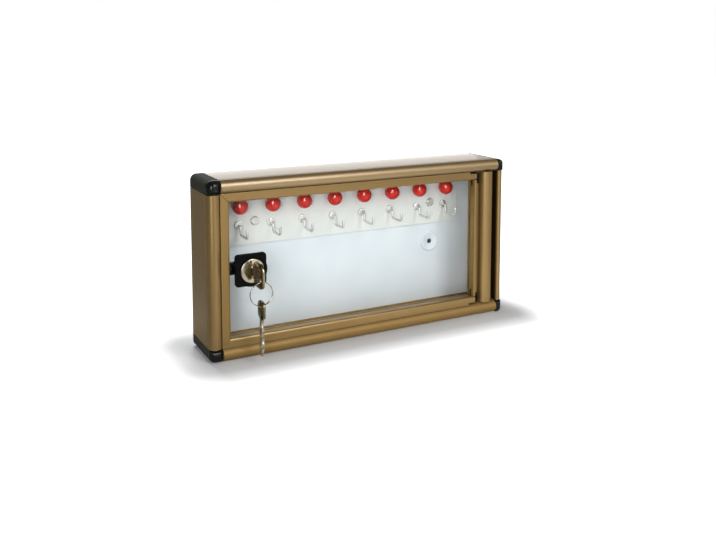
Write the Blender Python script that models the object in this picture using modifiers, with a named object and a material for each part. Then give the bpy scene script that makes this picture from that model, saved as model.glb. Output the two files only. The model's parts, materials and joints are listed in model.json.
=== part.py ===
"""Wall-hung key cabinet: a shallow case of gold extrusion with a glazed, locking door.

Metres, +Z up. The origin is the centre of the back face, X runs to the right as seen
from the front, Y runs back into the wall and Z runs up.
"""
import math

import bmesh
import bpy
from mathutils import Matrix, Vector

# Overall size of the case
width = 0.300
height = 0.154
depth = 0.051

# Clearances
fit = 0.0003             # gap between two pieces that touch
door_gap = 0.0015        # gap round the door
slide_gap = 0.0004       # gap round a piece that slides or turns
overrun = 0.002          # how far a cutter runs past the face that it cuts
weld_distance = 0.000001

# Case extrusion, seen in section
nose_width = 0.0115      # the round bead that frames the front
nose_depth = 0.012
rail_wall = 0.0018       # outer wall behind the bead
chamber_wall = 0.002     # wall of the hollow inside the bead
chamber_front = 0.0036
chamber_back = 0.0102
groove_front = 0.0080    # thin dark groove behind the bead
groove_width = 0.0013
groove_depth = 0.0010
ledge_reach = 0.0085     # ledge that the back panel rests against
ledge_thickness = 0.0014

# Right stile of the case: a wider bead, a channel and an outer lip
stile_nose_width = 0.014
stile_depth = 0.015
channel_width = 0.005
channel_floor = 0.013
lip_width = 0.005
lip_setback = 0.0015
lip_chamber_wall = 0.0013
lip_chamber_front = 0.006

# Moulded corners
corner_round = 0.0055
right_corner_length = 0.006
right_corner_round = 0.005
right_front_round = 0.0025
prong_length = 0.014

# Back panel and its wall screw holes
panel_thickness = 0.003
panel_corner_round = 0.004
wall_hole_radius = 0.0026
wall_hole_inset = 0.056
wall_ring_radius = 0.010
wall_ring_thickness = 0.0014
wall_ring_rim = 0.0016
grommet_bore = 0.0007         # radius, pierced by the screw

# Hook strip
strip_end_gap = 0.024        # from the sides of the case
strip_top_gap = 0.016        # below the top of the case
strip_thickness = 0.0016
strip_round = 0.0015
strip_screw_radius = 0.0015
strip_screw_head_radius = 0.0042
strip_screw_head_height = 0.0020
strip_screw_reach = 0.0022   # into the panel
driver_slot_width = 0.0010
driver_slot_depth = 0.0006

# Pegs and hooks, in one row each
place_count = 8
peg_radius = 0.0071
peg_centre_reach = 0.0061    # ball centre in front of the strip
peg_spigot_radius = 0.0018
hook_wire = 0.0021           # diameter
hook_reach = 0.0235
hook_stand = 0.0060          # upright part in front of the strip
hook_drop = 0.0075
hook_tip_rise = 0.0072
hook_top_bend = 0.0020
hook_low_bend = 0.0025
hook_tip_bend = 0.0030
hook_base_radius = 0.0038
hook_base_thickness = 0.0012

# Door frame
door_setback = 0.0025        # door front behind the bead's front
door_depth = 0.011
door_rail_width = 0.006
cover_gap = 0.0005           # between the door's cover lip and the bead
cover_depth = 0.0050         # depth of the lip from the door front
cover_stop = 0.0015          # the lips end this far before the round hinge edge
door_inner_round = 0.0022
hinge_flat = 0.0015          # flat beside the round hinge edge
pane_thickness = 0.0016
pane_setback = 0.0078        # pane front behind the door front
pane_seat = 0.0030           # how far the pane enters the frame
key_chamber_width = 0.0020
key_chamber_depth = 0.0034
key_chamber_inset = 0.0020
corner_key_leg = 0.012

# Hinge
hinge_cap_height = 0.0095
hinge_cap_offset = 0.0010    # flat of the cap beside the axis
hinge_pin_radius = 0.0015
hinge_pin_in_stile = 0.006
hinge_pin_in_case = 0.0050
bush_wall = 0.0008
bush_flange_radius = 0.0034
bush_length = 0.0036

# Lock
lock_from_left = 0.039
plate_size = 0.028
plate_round = 0.003
plate_thickness = 0.0024
boss_radius = 0.0144
boss_thickness = 0.0020
boss_edge_round = 0.0008
flange_radius = 0.0105
flange_thickness = 0.0022
flange_edge_round = 0.0007
barrel_radius = 0.0085
barrel_end = 0.0240          # behind the case front
nut_radius = 0.0115
nut_thickness = 0.0030
plug_radius = 0.0060
plug_length = 0.0140
plug_face_recess = 0.0006
keyway_width = 0.0024
keyway_height = 0.0084
drive_radius = 0.0042        # drive pin centre from the plug's axis
drive_pin_radius = 0.0012
plug_turn = math.radians(90)

# Bolt
bolt_height = 0.011
bolt_thickness = 0.0030
bolt_tail = 0.0022
bolt_tip_round = 0.0015
guide_wall = 0.0016
guide_length = 0.0060
strike_wall = 0.0015
strike_height = 0.030
strike_leg = 0.0125
strike_inset = 0.0015        # slotted leg behind the bead's inner face

# Keys, as flat plates
key_plate = 0.0020
key_blade_height = 0.0070
key_blade_in_plug = 0.0125
key_neck_length = 0.0035
key_bow_length = 0.0225
key_bow_height = 0.0215
key_hole_radius = 0.0026
key_hole_drop = 0.0036       # ring hole below the plug's axis
key_hole_from_end = 0.0060
key_cut_depth = 0.0016
ring_radius = 0.0095         # to the middle of its wire
ring_wire_radius = 0.00085
spare_bow_width = 0.0140
spare_bow_length = 0.0150
spare_blade_width = 0.0062
spare_blade_length = 0.0320
spare_hole_from_top = 0.0050
spare_hole_radius = 0.0024

# Shares of the case's height and of the strip's own sizes, read off the photograph
wall_hole_height_share = 0.4416
strip_height_share = 0.3312
lock_height_share = 0.48377
pitch_share = 0.12302
peg_height_share = 0.7059
hook_height_share = 0.3588
strip_screw_height_share = 0.4118

# Shares of a key's own sizes, chosen by eye
bow_corner_share = 0.34
blade_tip_share = 0.55
cut_depth_shares = (0.6, 1.0, 0.35, 0.8, 0.5)

# Facet counts
smooth_angle = math.radians(35)
arc_steps = 6
nose_steps = 12
turned_steps = 24
peg_steps = 20
peg_rings = 8
wire_steps = 2
ring_steps = 36

# Places worked out from the sizes
left = -width / 2
right = width / 2
top = height / 2
bottom = -height / 2
front = -depth
nose_radius = nose_width / 2
stile_nose_radius = stile_nose_width / 2
right_stile_width = lip_width + channel_width + stile_nose_width
groove_back = groove_front + groove_width
panel_front = -panel_thickness
ledge_back = depth - panel_thickness - fit
ledge_front = ledge_back - ledge_thickness
strip_back = panel_front - fit
strip_front = strip_back - strip_thickness
strip_width = width - 2 * strip_end_gap
strip_height = height * strip_height_share
strip_bottom_z = top - strip_top_gap - strip_height
strip_centre_z = strip_bottom_z + strip_height / 2
strip_screw_z = strip_bottom_z + strip_height * strip_screw_height_share
peg_z = strip_bottom_z + strip_height * peg_height_share
hook_z = strip_bottom_z + strip_height * hook_height_share
pitch = strip_width * pitch_share
strip_screw_spacing = (place_count - 2) * pitch
wall_hole_z = bottom + height * wall_hole_height_share
wall_hole_spacing = width - 2 * wall_hole_inset
wall_hole_places = (-wall_hole_spacing / 2, wall_hole_spacing / 2)
strip_screw_places = (-strip_screw_spacing / 2, strip_screw_spacing / 2)

door_left = left + nose_width + door_gap
door_right = right - right_stile_width - door_gap
door_top = top - nose_width - door_gap
door_bottom = bottom + nose_width + door_gap
door_front = front + door_setback
door_back = door_front + door_depth
hinge_radius = door_depth / 2
hinge_x = door_right - hinge_radius
hinge_y = door_front + hinge_radius
door_right_width = hinge_radius + hinge_flat
hinge_pane_seat = hinge_flat + hinge_cap_offset - fit
cap_flat_x = hinge_x + hinge_cap_offset
rail_end = cap_flat_x - fit
cover_end_x = hinge_x - hinge_radius - cover_stop
stile_end_z = door_top - door_rail_width - fit
pane_front = door_front + pane_setback
pane_back = pane_front + pane_thickness

lock_x = left + lock_from_left
lock_z = bottom + height * lock_height_share
plate_back = pane_front - fit
plate_front = plate_back - plate_thickness
boss_front = plate_front - boss_thickness
flange_back = boss_front - fit
flange_front = flange_back - flange_thickness
barrel_back = front + barrel_end
plug_front = flange_front + plug_face_recess
plug_back = plug_front + plug_length
bolt_front = plug_back + slide_gap
bolt_back = bolt_front + bolt_thickness
drive_x = lock_x + drive_radius * math.sin(plug_turn / 2)
drive_z = lock_z + drive_radius * math.cos(plug_turn / 2)
bolt_tip = door_left - fit
guide_front = door_back + fit
bush_radius = hinge_pin_radius + fit + bush_wall

key_tip = plug_front + key_blade_in_plug
bow_back = flange_front - key_neck_length
bow_front = bow_back - key_bow_length
ring_hole_y = bow_front + key_hole_from_end
ring_hole_z = lock_z - key_hole_drop
ring_top_z = ring_hole_z - key_hole_radius + ring_wire_radius + fit
ring_centre_z = ring_top_z - ring_radius
ring_bottom_z = ring_centre_z - ring_radius
spare_hole_z = ring_bottom_z + ring_wire_radius + fit - spare_hole_radius

axis_x = Vector((1, 0, 0))
axis_y = Vector((0, 1, 0))
axis_z = Vector((0, 0, 1))


def finish(name, colour, roughness, metallic):
    """Return a plain Principled material."""
    material = bpy.data.materials.new(name)
    material.use_nodes = True
    shader = material.node_tree.nodes['Principled BSDF']
    shader.inputs['Base Color'].default_value = (*colour, 1)
    shader.inputs['Roughness'].default_value = roughness
    shader.inputs['Metallic'].default_value = metallic
    return material


def frame_matrix(u_axis, v_axis, w_axis, origin):
    """Return the matrix that puts local X, Y and Z on three world axes at an origin."""
    matrix = Matrix((u_axis, v_axis, w_axis)).transposed().to_4x4()
    matrix.translation = Vector(origin)
    return matrix


def empty(name, place, parent=None):
    """Make an empty on a joint's axis, to carry the pieces that move with it."""
    pivot = bpy.data.objects.new(name, None)
    parts.objects.link(pivot)
    pivot.location = place
    if parent is not None:
        pivot.parent = parent
        pivot.matrix_parent_inverse = parent.matrix_world.inverted()
    bpy.context.view_layer.update()
    return pivot


def make_object(name, mesh, matrix, material, parent=None, round_piece=False):
    """Link a mesh as one named piece."""
    piece = bpy.data.objects.new(name, mesh)
    parts.objects.link(piece)
    piece.matrix_world = matrix
    if parent is not None:
        piece.parent = parent
        piece.matrix_parent_inverse = parent.matrix_world.inverted()
        piece.matrix_world = matrix
    if material is not None:
        mesh.materials.clear()
        mesh.materials.append(material)
    if round_piece:
        mesh.shade_smooth()
        mesh.set_sharp_from_angle(angle=smooth_angle)
    return piece


def cutter(mesh, matrix, name='cutter'):
    """Link a mesh as a hidden guide for Boolean modifiers."""
    guide = bpy.data.objects.new(name, mesh)
    cutters.objects.link(guide)
    guide.matrix_world = matrix
    guide.hide_render = True
    guide.display_type = 'WIRE'
    return guide


def combine(piece, other, operation='DIFFERENCE'):
    """Cut a piece by another mesh, or join the two."""
    boolean = piece.modifiers.new(operation.title(), 'BOOLEAN')
    boolean.operation = operation
    boolean.solver = 'EXACT'
    boolean.object = other


def weld(mesh):
    """Merge doubled points and turn the faces outward."""
    shape = bmesh.new()
    shape.from_mesh(mesh)
    bmesh.ops.remove_doubles(shape, verts=shape.verts, dist=weld_distance)
    bmesh.ops.recalc_face_normals(shape, faces=shape.faces)
    shape.to_mesh(mesh)
    shape.free()


def mesh_of_curve(curve):
    """Turn a curve into a welded mesh."""
    guide = bpy.data.objects.new(curve.name, curve)
    bpy.context.scene.collection.objects.link(guide)
    bpy.context.view_layer.update()
    depsgraph = bpy.context.evaluated_depsgraph_get()
    mesh = bpy.data.meshes.new_from_object(guide.evaluated_get(depsgraph))
    weld(mesh)
    bpy.data.objects.remove(guide)
    return mesh


def prism_mesh(name, loops, length):
    """Extrude a flat outline, holes included, along local Z about its middle."""
    curve = bpy.data.curves.new(name, 'CURVE')
    curve.dimensions = '2D'
    curve.fill_mode = 'BOTH'
    curve.extrude = length / 2
    for loop in loops:
        spline = curve.splines.new('POLY')
        spline.points.add(len(loop) - 1)
        for point, place in zip(spline.points, loop):
            point.co = (place[0], place[1], 0, 1)
        spline.use_cyclic_u = True
    return mesh_of_curve(curve)


def wire_mesh(name, points, radius):
    """Sweep a round wire along a list of points."""
    curve = bpy.data.curves.new(name, 'CURVE')
    curve.dimensions = '3D'
    curve.bevel_depth = radius
    curve.bevel_resolution = wire_steps
    curve.use_fill_caps = True
    spline = curve.splines.new('POLY')
    spline.points.add(len(points) - 1)
    for point, place in zip(spline.points, points):
        point.co = (*place, 1)
    return mesh_of_curve(curve)


def box_mesh(low, high):
    """A box between two corners."""
    low = Vector(low)
    high = Vector(high)
    mesh = bpy.data.meshes.new('box')
    shape = bmesh.new()
    bmesh.ops.create_cube(shape, size=1)
    bmesh.ops.scale(shape, vec=high - low, verts=shape.verts)
    bmesh.ops.translate(shape, vec=(low + high) / 2, verts=shape.verts)
    shape.to_mesh(mesh)
    shape.free()
    return mesh


def rod_mesh(radius, length, sides=turned_steps):
    """A cylinder along local Z that starts at zero and runs up."""
    mesh = bpy.data.meshes.new('rod')
    shape = bmesh.new()
    bmesh.ops.create_cone(shape, cap_ends=True, segments=sides, radius1=radius,
                          radius2=radius, depth=length)
    bmesh.ops.translate(shape, vec=axis_z * length / 2, verts=shape.verts)
    shape.to_mesh(mesh)
    shape.free()
    return mesh


def box_cut(piece, low, high):
    """Cut a box out of a piece."""
    combine(piece, cutter(box_mesh(low, high), Matrix.Identity(4)))


def rod_cut(piece, radius, start, end, sides=turned_steps):
    """Cut a round hole out of a piece, from one point to another."""
    start = Vector(start)
    reach = Vector(end) - start
    turn = reach.to_track_quat('Z', 'Y').to_matrix().to_4x4()
    combine(piece, cutter(rod_mesh(radius, reach.length, sides), Matrix.Translation(start) @ turn))


def rod_add(piece, radius, start, end, sides=turned_steps):
    """Join a round pin to a piece, from one point to another."""
    start = Vector(start)
    reach = Vector(end) - start
    turn = reach.to_track_quat('Z', 'Y').to_matrix().to_4x4()
    pin = cutter(rod_mesh(radius, reach.length, sides), Matrix.Translation(start) @ turn)
    combine(piece, pin, 'UNION')


def arc(centre, radius, start, end, steps=arc_steps):
    """Points on an arc, in degrees, from start to end."""
    points = []
    for step in range(steps + 1):
        angle = math.radians(start + (end - start) * step / steps)
        points.append((centre[0] + radius * math.cos(angle), centre[1] + radius * math.sin(angle)))
    return points


def rectangle(low, high):
    """The four corners of a rectangle."""
    return [low, (high[0], low[1]), high, (low[0], high[1])]


def round_rectangle(low, high, radius):
    """A rectangle with rounded corners."""
    points = arc((high[0] - radius, high[1] - radius), radius, 0, 90)
    points += arc((low[0] + radius, high[1] - radius), radius, 90, 180)
    points += arc((low[0] + radius, low[1] + radius), radius, 180, 270)
    points += arc((high[0] - radius, low[1] + radius), radius, 270, 360)
    return points


def circle(centre, radius, steps=turned_steps):
    """A closed circle of points."""
    return arc(centre, radius, 0, 360, steps)[:-1]


def turned(name, profile, matrix, material, parent=None, steps=turned_steps, closed=False):
    """Turn a profile of radius and height about local Z; it runs down the outer side."""
    mesh = bpy.data.meshes.new(name)
    edges = [(index, index + 1) for index in range(len(profile) - 1)]
    if closed:
        edges.append((len(profile) - 1, 0))
    mesh.from_pydata([(radius, 0, rise) for radius, rise in profile], edges, [])
    piece = make_object(name, mesh, matrix, material, parent)
    screw = piece.modifiers.new('Turn', 'SCREW')
    screw.steps = steps
    screw.render_steps = steps
    screw.use_merge_vertices = True
    screw.merge_threshold = weld_distance
    screw.use_smooth_shade = True
    return piece


# The case

def case_profile():
    """Section of the case rail: in from the outer face, then back from the front."""
    points = [(0, depth), (0, groove_back), (groove_depth, groove_back), (groove_depth, groove_front)]
    points += [(0, groove_front)]
    points += arc((nose_radius, nose_radius), nose_radius, 180, 360, nose_steps)
    points += [(nose_width, nose_depth), (rail_wall, nose_depth), (rail_wall, ledge_front)]
    points += [(ledge_reach, ledge_front), (ledge_reach, ledge_back), (rail_wall, ledge_back)]
    points += [(rail_wall, depth)]
    chamber = rectangle((chamber_wall, chamber_front), (nose_width - chamber_wall, chamber_back))
    return [points, chamber]


def right_stile_profile():
    """Section of the right stile: lip, dark channel and the wide bead."""
    lip_radius = lip_width / 2
    bead = lip_width + channel_width
    bead_radius = stile_nose_radius
    points = [(0, depth)]
    points += arc((lip_radius, lip_setback + lip_radius), lip_radius, 180, 360)
    points += [(lip_width, channel_floor), (bead, channel_floor)]
    points += arc((bead + bead_radius, bead_radius), bead_radius, 180, 360, nose_steps)
    points += [(right_stile_width, stile_depth), (rail_wall, stile_depth), (rail_wall, ledge_front)]
    points += [(ledge_reach, ledge_front), (ledge_reach, ledge_back), (rail_wall, ledge_back)]
    points += [(rail_wall, depth)]
    chamber = rectangle((bead + chamber_wall, chamber_front),
                        (right_stile_width - chamber_wall, stile_depth - chamber_wall))
    slot = rectangle((lip_chamber_wall, lip_chamber_front),
                     (lip_width - lip_chamber_wall, channel_floor))
    return [points, chamber, slot]


def make_case_rails():
    """The four extrusions, with the holes for the hinge bushes."""
    rail_left = left + nose_width + fit
    rail_right = right - right_corner_length - fit
    rail_middle = (rail_left + rail_right) / 2
    mesh = prism_mesh('case_rail', case_profile(), rail_right - rail_left)
    places = (('case_top_rail', -axis_z, axis_x, top), ('case_bottom_rail', axis_z, -axis_x, bottom))
    for name, u_axis, w_axis, edge in places:
        rail = make_object(name, mesh.copy(), frame_matrix(u_axis, axis_y, w_axis,
                                                           (rail_middle, front, edge)), gold)
        side = 1 if edge > 0 else -1
        inner = edge - side * (nose_width + overrun)
        seat = edge - side * (nose_width + door_gap - fit - bush_length - fit)
        rod_cut(rail, bush_radius + fit, (hinge_x, hinge_y, inner), (hinge_x, hinge_y, seat))

    length = height - 2 * (nose_width + fit)
    mesh = prism_mesh('case_left_stile', case_profile(), length)
    make_object('case_left_stile', mesh, frame_matrix(axis_x, axis_y, axis_z, (left, front, 0)), gold)

    length = height - 2 * (nose_width + fit)
    mesh = prism_mesh('case_right_stile', right_stile_profile(), length)
    make_object('case_right_stile', mesh, frame_matrix(-axis_x, axis_y, -axis_z, (right, front, 0)),
                gold)


def rounded_block(name, low, high, rounded, radius, material):
    """A box whose chosen edges are rounded; rounded gives an edge's share of the radius."""
    mesh = box_mesh(low, high)
    weights = mesh.attributes.new('bevel_weight_edge', 'FLOAT', 'EDGE')
    for edge in mesh.edges:
        ends = [mesh.vertices[index].co for index in edge.vertices]
        weights.data[edge.index].value = rounded((ends[0] + ends[1]) / 2)
    block = make_object(name, mesh, Matrix.Identity(4), material)
    bevel = block.modifiers.new('Round', 'BEVEL')
    bevel.limit_method = 'WEIGHT'
    bevel.offset_type = 'OFFSET'
    bevel.width = radius
    bevel.segments = arc_steps
    return block


def sorted_box(first, second):
    """Low and high corners of the box between two points."""
    low = [min(pair) for pair in zip(first, second)]
    high = [max(pair) for pair in zip(first, second)]
    return low, high


def make_corner(name, x_side, z_side, length, rise, rounding, front_rounding, side_prong):
    """One moulded corner: front block, thin skirt behind it and two prongs."""
    outer_x = x_side * width / 2
    outer_z = z_side * height / 2

    def place(inward_x, y, inward_z):
        return (outer_x - x_side * inward_x, y, outer_z - z_side * inward_z)

    low, high = sorted_box(place(0, front, 0), place(length, 0, rise))
    front_share = front_rounding / rounding

    def rounded(middle):
        if abs(middle.y - front) < weld_distance:
            beside_rail = abs(middle.x - outer_x) > length - weld_distance
            return 0 if beside_rail and front_share < 1 else front_share
        on_side = abs(middle.x - outer_x) < weld_distance
        on_end = abs(middle.z - outer_z) < weld_distance
        return 1 if on_side and on_end else 0

    corner = rounded_block(name, low, high, rounded, rounding, black)

    outline = arc((rounding, rounding), rounding - rail_wall, 180, 270)
    outline += [(length + overrun, rail_wall), (length + overrun, rise + overrun)]
    outline += [(rail_wall, rise + overrun)]
    hollow = [(x_side * -u, z_side * -v) for u, v in outline]
    hollow_front = front + nose_depth
    hollow_mesh = prism_mesh(name + '_hollow', [hollow], overrun - hollow_front)
    hollow_matrix = frame_matrix(axis_x, axis_z, -axis_y,
                                 (outer_x, (hollow_front + overrun) / 2, outer_z))
    combine(corner, cutter(hollow_mesh, hollow_matrix))

    prong_front = front + chamber_front + fit
    prong_back = front + chamber_back - fit
    low, high = sorted_box(place(length - rail_wall, prong_front, chamber_wall + fit),
                           place(length + prong_length, prong_back, nose_width - chamber_wall - fit))
    combine(corner, cutter(box_mesh(low, high), Matrix.Identity(4)), 'UNION')
    near, far, prong_front, prong_back = side_prong
    low, high = sorted_box(place(near + fit, front + prong_front + fit, rise - rail_wall),
                           place(far - fit, front + prong_back - fit, rise + prong_length))
    combine(corner, cutter(box_mesh(low, high), Matrix.Identity(4)), 'UNION')

    if front_rounding < groove_front:
        inset_round = rounding - groove_depth
        outline = [(length + overrun, -overrun), (length + overrun, groove_depth)]
        outline += arc((rounding, rounding), inset_round, 270, 180)
        outline += [(groove_depth, rise + overrun), (-overrun, rise + overrun), (-overrun, -overrun)]
        ring = [(x_side * -u, z_side * -v) for u, v in outline]
        ring_mesh = prism_mesh(name + '_groove', [ring], groove_width)
        ring_matrix = frame_matrix(axis_x, axis_z, -axis_y,
                                   (outer_x, front + groove_front + groove_width / 2, outer_z))
        combine(corner, cutter(ring_mesh, ring_matrix))
    return corner


def make_corners():
    """The four corners; the right ones sit outside the ends of the rails."""
    bead_slot = (chamber_wall, nose_width - chamber_wall, chamber_front, chamber_back)
    lip_slot = (lip_chamber_wall, lip_width - lip_chamber_wall, lip_chamber_front, channel_floor)
    for word, z_side in (('top', 1), ('bottom', -1)):
        make_corner('corner_' + word + '_left', -1, z_side, nose_width, nose_width,
                    corner_round, corner_round, bead_slot)
        make_corner('corner_' + word + '_right', 1, z_side, right_corner_length, nose_width,
                    right_corner_round, right_front_round, lip_slot)


def make_back_panel():
    """The white board in the rear rebate, with two wall screw holes and blind screw holes."""
    inset = rail_wall + fit
    outline = round_rectangle((left + inset, bottom + inset), (right - inset, top - inset),
                              panel_corner_round)
    loops = [outline]
    loops += [circle((x, wall_hole_z), wall_hole_radius, peg_steps) for x in wall_hole_places]
    mesh = prism_mesh('back_panel', loops, panel_thickness)
    panel = make_object('back_panel', mesh, frame_matrix(axis_x, axis_z, -axis_y,
                                                         (0, -panel_thickness / 2, 0)), white)
    for x in strip_screw_places:
        rod_cut(panel, strip_screw_radius + fit, (x, panel_front - overrun, strip_screw_z),
                (x, panel_front + strip_screw_reach + fit, strip_screw_z), peg_steps)


def make_wall_rings():
    """Dished rings on the panel round the wall screw holes."""
    rim = wall_ring_radius
    lip = wall_ring_rim
    inner = wall_hole_radius
    thin = wall_ring_thickness / 2
    profile = [(inner, thin), (rim - 2 * lip, thin), (rim - lip, wall_ring_thickness)]
    profile += [(rim - lip / 2, wall_ring_thickness), (rim, thin), (rim, 0), (inner, 0)]
    for word, x in zip(('left', 'right'), wall_hole_places):
        matrix = frame_matrix(axis_x, axis_z, -axis_y, (x, panel_front - fit, wall_hole_z))
        turned('wall_ring_' + word, profile, matrix, white, closed=True)


def make_wall_grommets():
    """Rubber grommets that fill the wall screw holes until a screw is put through."""
    outer = wall_hole_radius - fit
    length = panel_thickness + fit
    profile = [(grommet_bore, length), (outer, length), (outer, 0), (grommet_bore, 0)]
    for word, x in zip(('left', 'right'), wall_hole_places):
        matrix = frame_matrix(axis_x, axis_z, -axis_y, (x, 0, wall_hole_z))
        turned('wall_grommet_' + word, profile, matrix, black, steps=peg_steps, closed=True)


# Hook strip, pegs and hooks

def place_x(index):
    """The X place of a peg and its hook, counted from the left."""
    return (index - (place_count - 1) / 2) * pitch


def make_strip():
    """The strip with its holes, and the two screws that hold it."""
    low = (-strip_width / 2, strip_centre_z - strip_height / 2)
    high = (strip_width / 2, strip_centre_z + strip_height / 2)
    loops = [round_rectangle(low, high, strip_round)]
    for index in range(place_count):
        loops.append(circle((place_x(index), peg_z), peg_spigot_radius + fit, peg_steps))
        loops.append(circle((place_x(index), hook_z), hook_wire / 2 + fit, peg_steps))
    for x in strip_screw_places:
        loops.append(circle((x, strip_screw_z), strip_screw_radius + fit, peg_steps))
    mesh = prism_mesh('hook_strip', loops, strip_thickness)
    middle = (0, (strip_front + strip_back) / 2, 0)
    make_object('hook_strip', mesh, frame_matrix(axis_x, axis_z, -axis_y, middle), white)

    head = strip_screw_head_radius
    head_height = strip_screw_head_height
    shank_end = strip_front - fit - panel_front - strip_screw_reach
    profile = [(0, head_height), (head - head_height / 2, head_height), (head, head_height / 2)]
    profile += [(head, 0), (strip_screw_radius, 0), (strip_screw_radius, shank_end), (0, shank_end)]
    for word, x in zip(('left', 'right'), strip_screw_places):
        matrix = frame_matrix(axis_x, axis_z, -axis_y, (x, strip_front - fit, strip_screw_z))
        screw = turned('strip_screw_' + word, profile, matrix, nickel, steps=peg_steps)
        head_front = strip_front - fit - head_height
        box_cut(screw, (x - head - overrun, head_front - overrun,
                        strip_screw_z - driver_slot_width / 2),
                (x + head + overrun, head_front + driver_slot_depth,
                 strip_screw_z + driver_slot_width / 2))


def make_pegs():
    """Red ball pegs, each with a flat foot and a spigot in the strip."""
    foot_rise = peg_centre_reach - fit
    foot_angle = math.degrees(math.acos(foot_rise / peg_radius))
    ball = arc((0, foot_rise), peg_radius, 90, foot_angle - 90, peg_rings)
    ball[0] = (0, foot_rise + peg_radius)
    spigot_end = -strip_thickness - fit
    profile = ball + [(peg_spigot_radius, 0), (peg_spigot_radius, spigot_end), (0, spigot_end)]
    for index in range(place_count):
        matrix = frame_matrix(axis_x, axis_z, -axis_y, (place_x(index), strip_front - fit, peg_z))
        turned('peg_' + str(index + 1), profile, matrix, red, steps=peg_steps)


def make_hooks():
    """Hooks bent from wire: out, down, out again and up, with a round base at the strip."""
    wire_radius = hook_wire / 2
    tip_y = strip_front - hook_reach
    low_z = hook_z - hook_drop
    drop_y = strip_front - hook_stand
    path = [(strip_back, hook_z)]
    path += arc((drop_y + hook_top_bend, hook_z - hook_top_bend), hook_top_bend, 90, 180)
    path += arc((drop_y - hook_low_bend, low_z + hook_low_bend), hook_low_bend, 0, -90)
    path += arc((tip_y + hook_tip_bend, low_z + hook_tip_bend), hook_tip_bend, 270, 180)
    path += [(tip_y, low_z + hook_tip_rise)]
    for index in range(place_count):
        x = place_x(index)
        mesh = wire_mesh('hook', [(x, y, z) for y, z in path], wire_radius)
        hook = make_object('hook_' + str(index + 1), mesh, Matrix.Identity(4), nickel, None, True)
        rod_add(hook, hook_base_radius, (x, strip_front - fit, hook_z),
                (x, strip_front - fit - hook_base_thickness, hook_z), peg_steps)


# The door

def door_profile():
    """Section of a door rail: in from the door's edge, then back from its front."""
    bead = (-door_gap - nose_radius, nose_radius - door_setback)
    radius = nose_radius + cover_gap
    lip_end = -math.degrees(math.asin(bead[1] / radius))
    inner = door_inner_round
    wide = door_rail_width
    groove_start = pane_setback - fit
    groove_end = pane_setback + pane_thickness + fit
    points = [(0, door_depth), (0, cover_depth), (cover_gap - door_gap, cover_depth)]
    points += arc(bead, radius, 0, lip_end)
    points += arc((wide - inner, inner), inner, 270, 360)
    points += [(wide, groove_start), (wide - pane_seat, groove_start)]
    points += [(wide - pane_seat, groove_end), (wide, groove_end), (wide, door_depth)]
    chamber = rectangle((key_chamber_inset, key_chamber_inset),
                        (key_chamber_inset + key_chamber_width, key_chamber_inset + key_chamber_depth))
    return [points, chamber]


def door_hinge_profile():
    """Section of the door's right stile, whose outer edge is round about the hinge axis."""
    radius = hinge_radius
    flat = hinge_flat
    wide = door_right_width
    groove_start = pane_setback - fit
    groove_end = pane_setback + pane_thickness + fit
    points = arc((radius, radius), radius, 90, 270, nose_steps)
    points += arc((wide - flat, flat), flat, 270, 360)[1:]
    points += [(wide, groove_start), (wide - hinge_pane_seat, groove_start)]
    points += [(wide - hinge_pane_seat, groove_end), (wide, groove_end), (wide, door_depth)]
    return [points]


def mitre(mesh, length, ends):
    """Slide the end points along by their distance in from the outer edge."""
    for vertex in mesh.vertices:
        end = 1 if vertex.co.z > 0 else -1
        if end in ends:
            vertex.co.z = end * (length / 2 - vertex.co.x - fit / 2)


def make_door_frame():
    """Top and bottom rails, the mitred left stile and the round right stile."""
    length = rail_end - door_left
    middle = (rail_end + door_left) / 2
    for name, u_axis, w_axis, edge, mitred in (
            ('door_top_rail', -axis_z, axis_x, door_top, (-1,)),
            ('door_bottom_rail', axis_z, -axis_x, door_bottom, (1,))):
        mesh = prism_mesh(name, door_profile(), length)
        mitre(mesh, length, mitred)
        rail = make_object(name, mesh, frame_matrix(u_axis, axis_y, w_axis,
                                                    (middle, door_front, edge)), gold, door_pivot)
        rod_cut(rail, hinge_pin_radius + fit, (hinge_x, hinge_y, edge - door_rail_width - overrun),
                (hinge_x, hinge_y, edge + door_rail_width + overrun))
        side = 1 if edge > 0 else -1
        low, high = sorted_box((cover_end_x, door_front - overrun, edge),
                               (rail_end + overrun, door_back, edge + side * nose_width))
        box_cut(rail, low, high)

    length = door_top - door_bottom
    mesh = prism_mesh('door_left_stile', door_profile(), length)
    mitre(mesh, length, (-1, 1))
    centre_z = (door_top + door_bottom) / 2
    make_object('door_left_stile', mesh,
                frame_matrix(axis_x, axis_y, axis_z, (door_left, door_front, centre_z)), gold,
                door_pivot)

    mesh = prism_mesh('door_right_stile', door_hinge_profile(), 2 * (stile_end_z - centre_z))
    stile = make_object('door_right_stile', mesh,
                        frame_matrix(-axis_x, axis_y, -axis_z, (door_right, door_front, centre_z)),
                        gold, door_pivot)
    for side in (-1, 1):
        end_z = centre_z + side * (stile_end_z - centre_z)
        notch_z = centre_z + side * (door_top - centre_z - hinge_cap_height - fit)
        low, high = sorted_box((cap_flat_x - fit, door_front - overrun, notch_z),
                               (door_right + overrun, door_back + overrun, end_z + side * overrun))
        box_cut(stile, low, high)
        rod_cut(stile, hinge_pin_radius + fit,
                (hinge_x, hinge_y, end_z - side * (hinge_pin_in_stile + fit)),
                (hinge_x, hinge_y, end_z + side * overrun))


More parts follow.
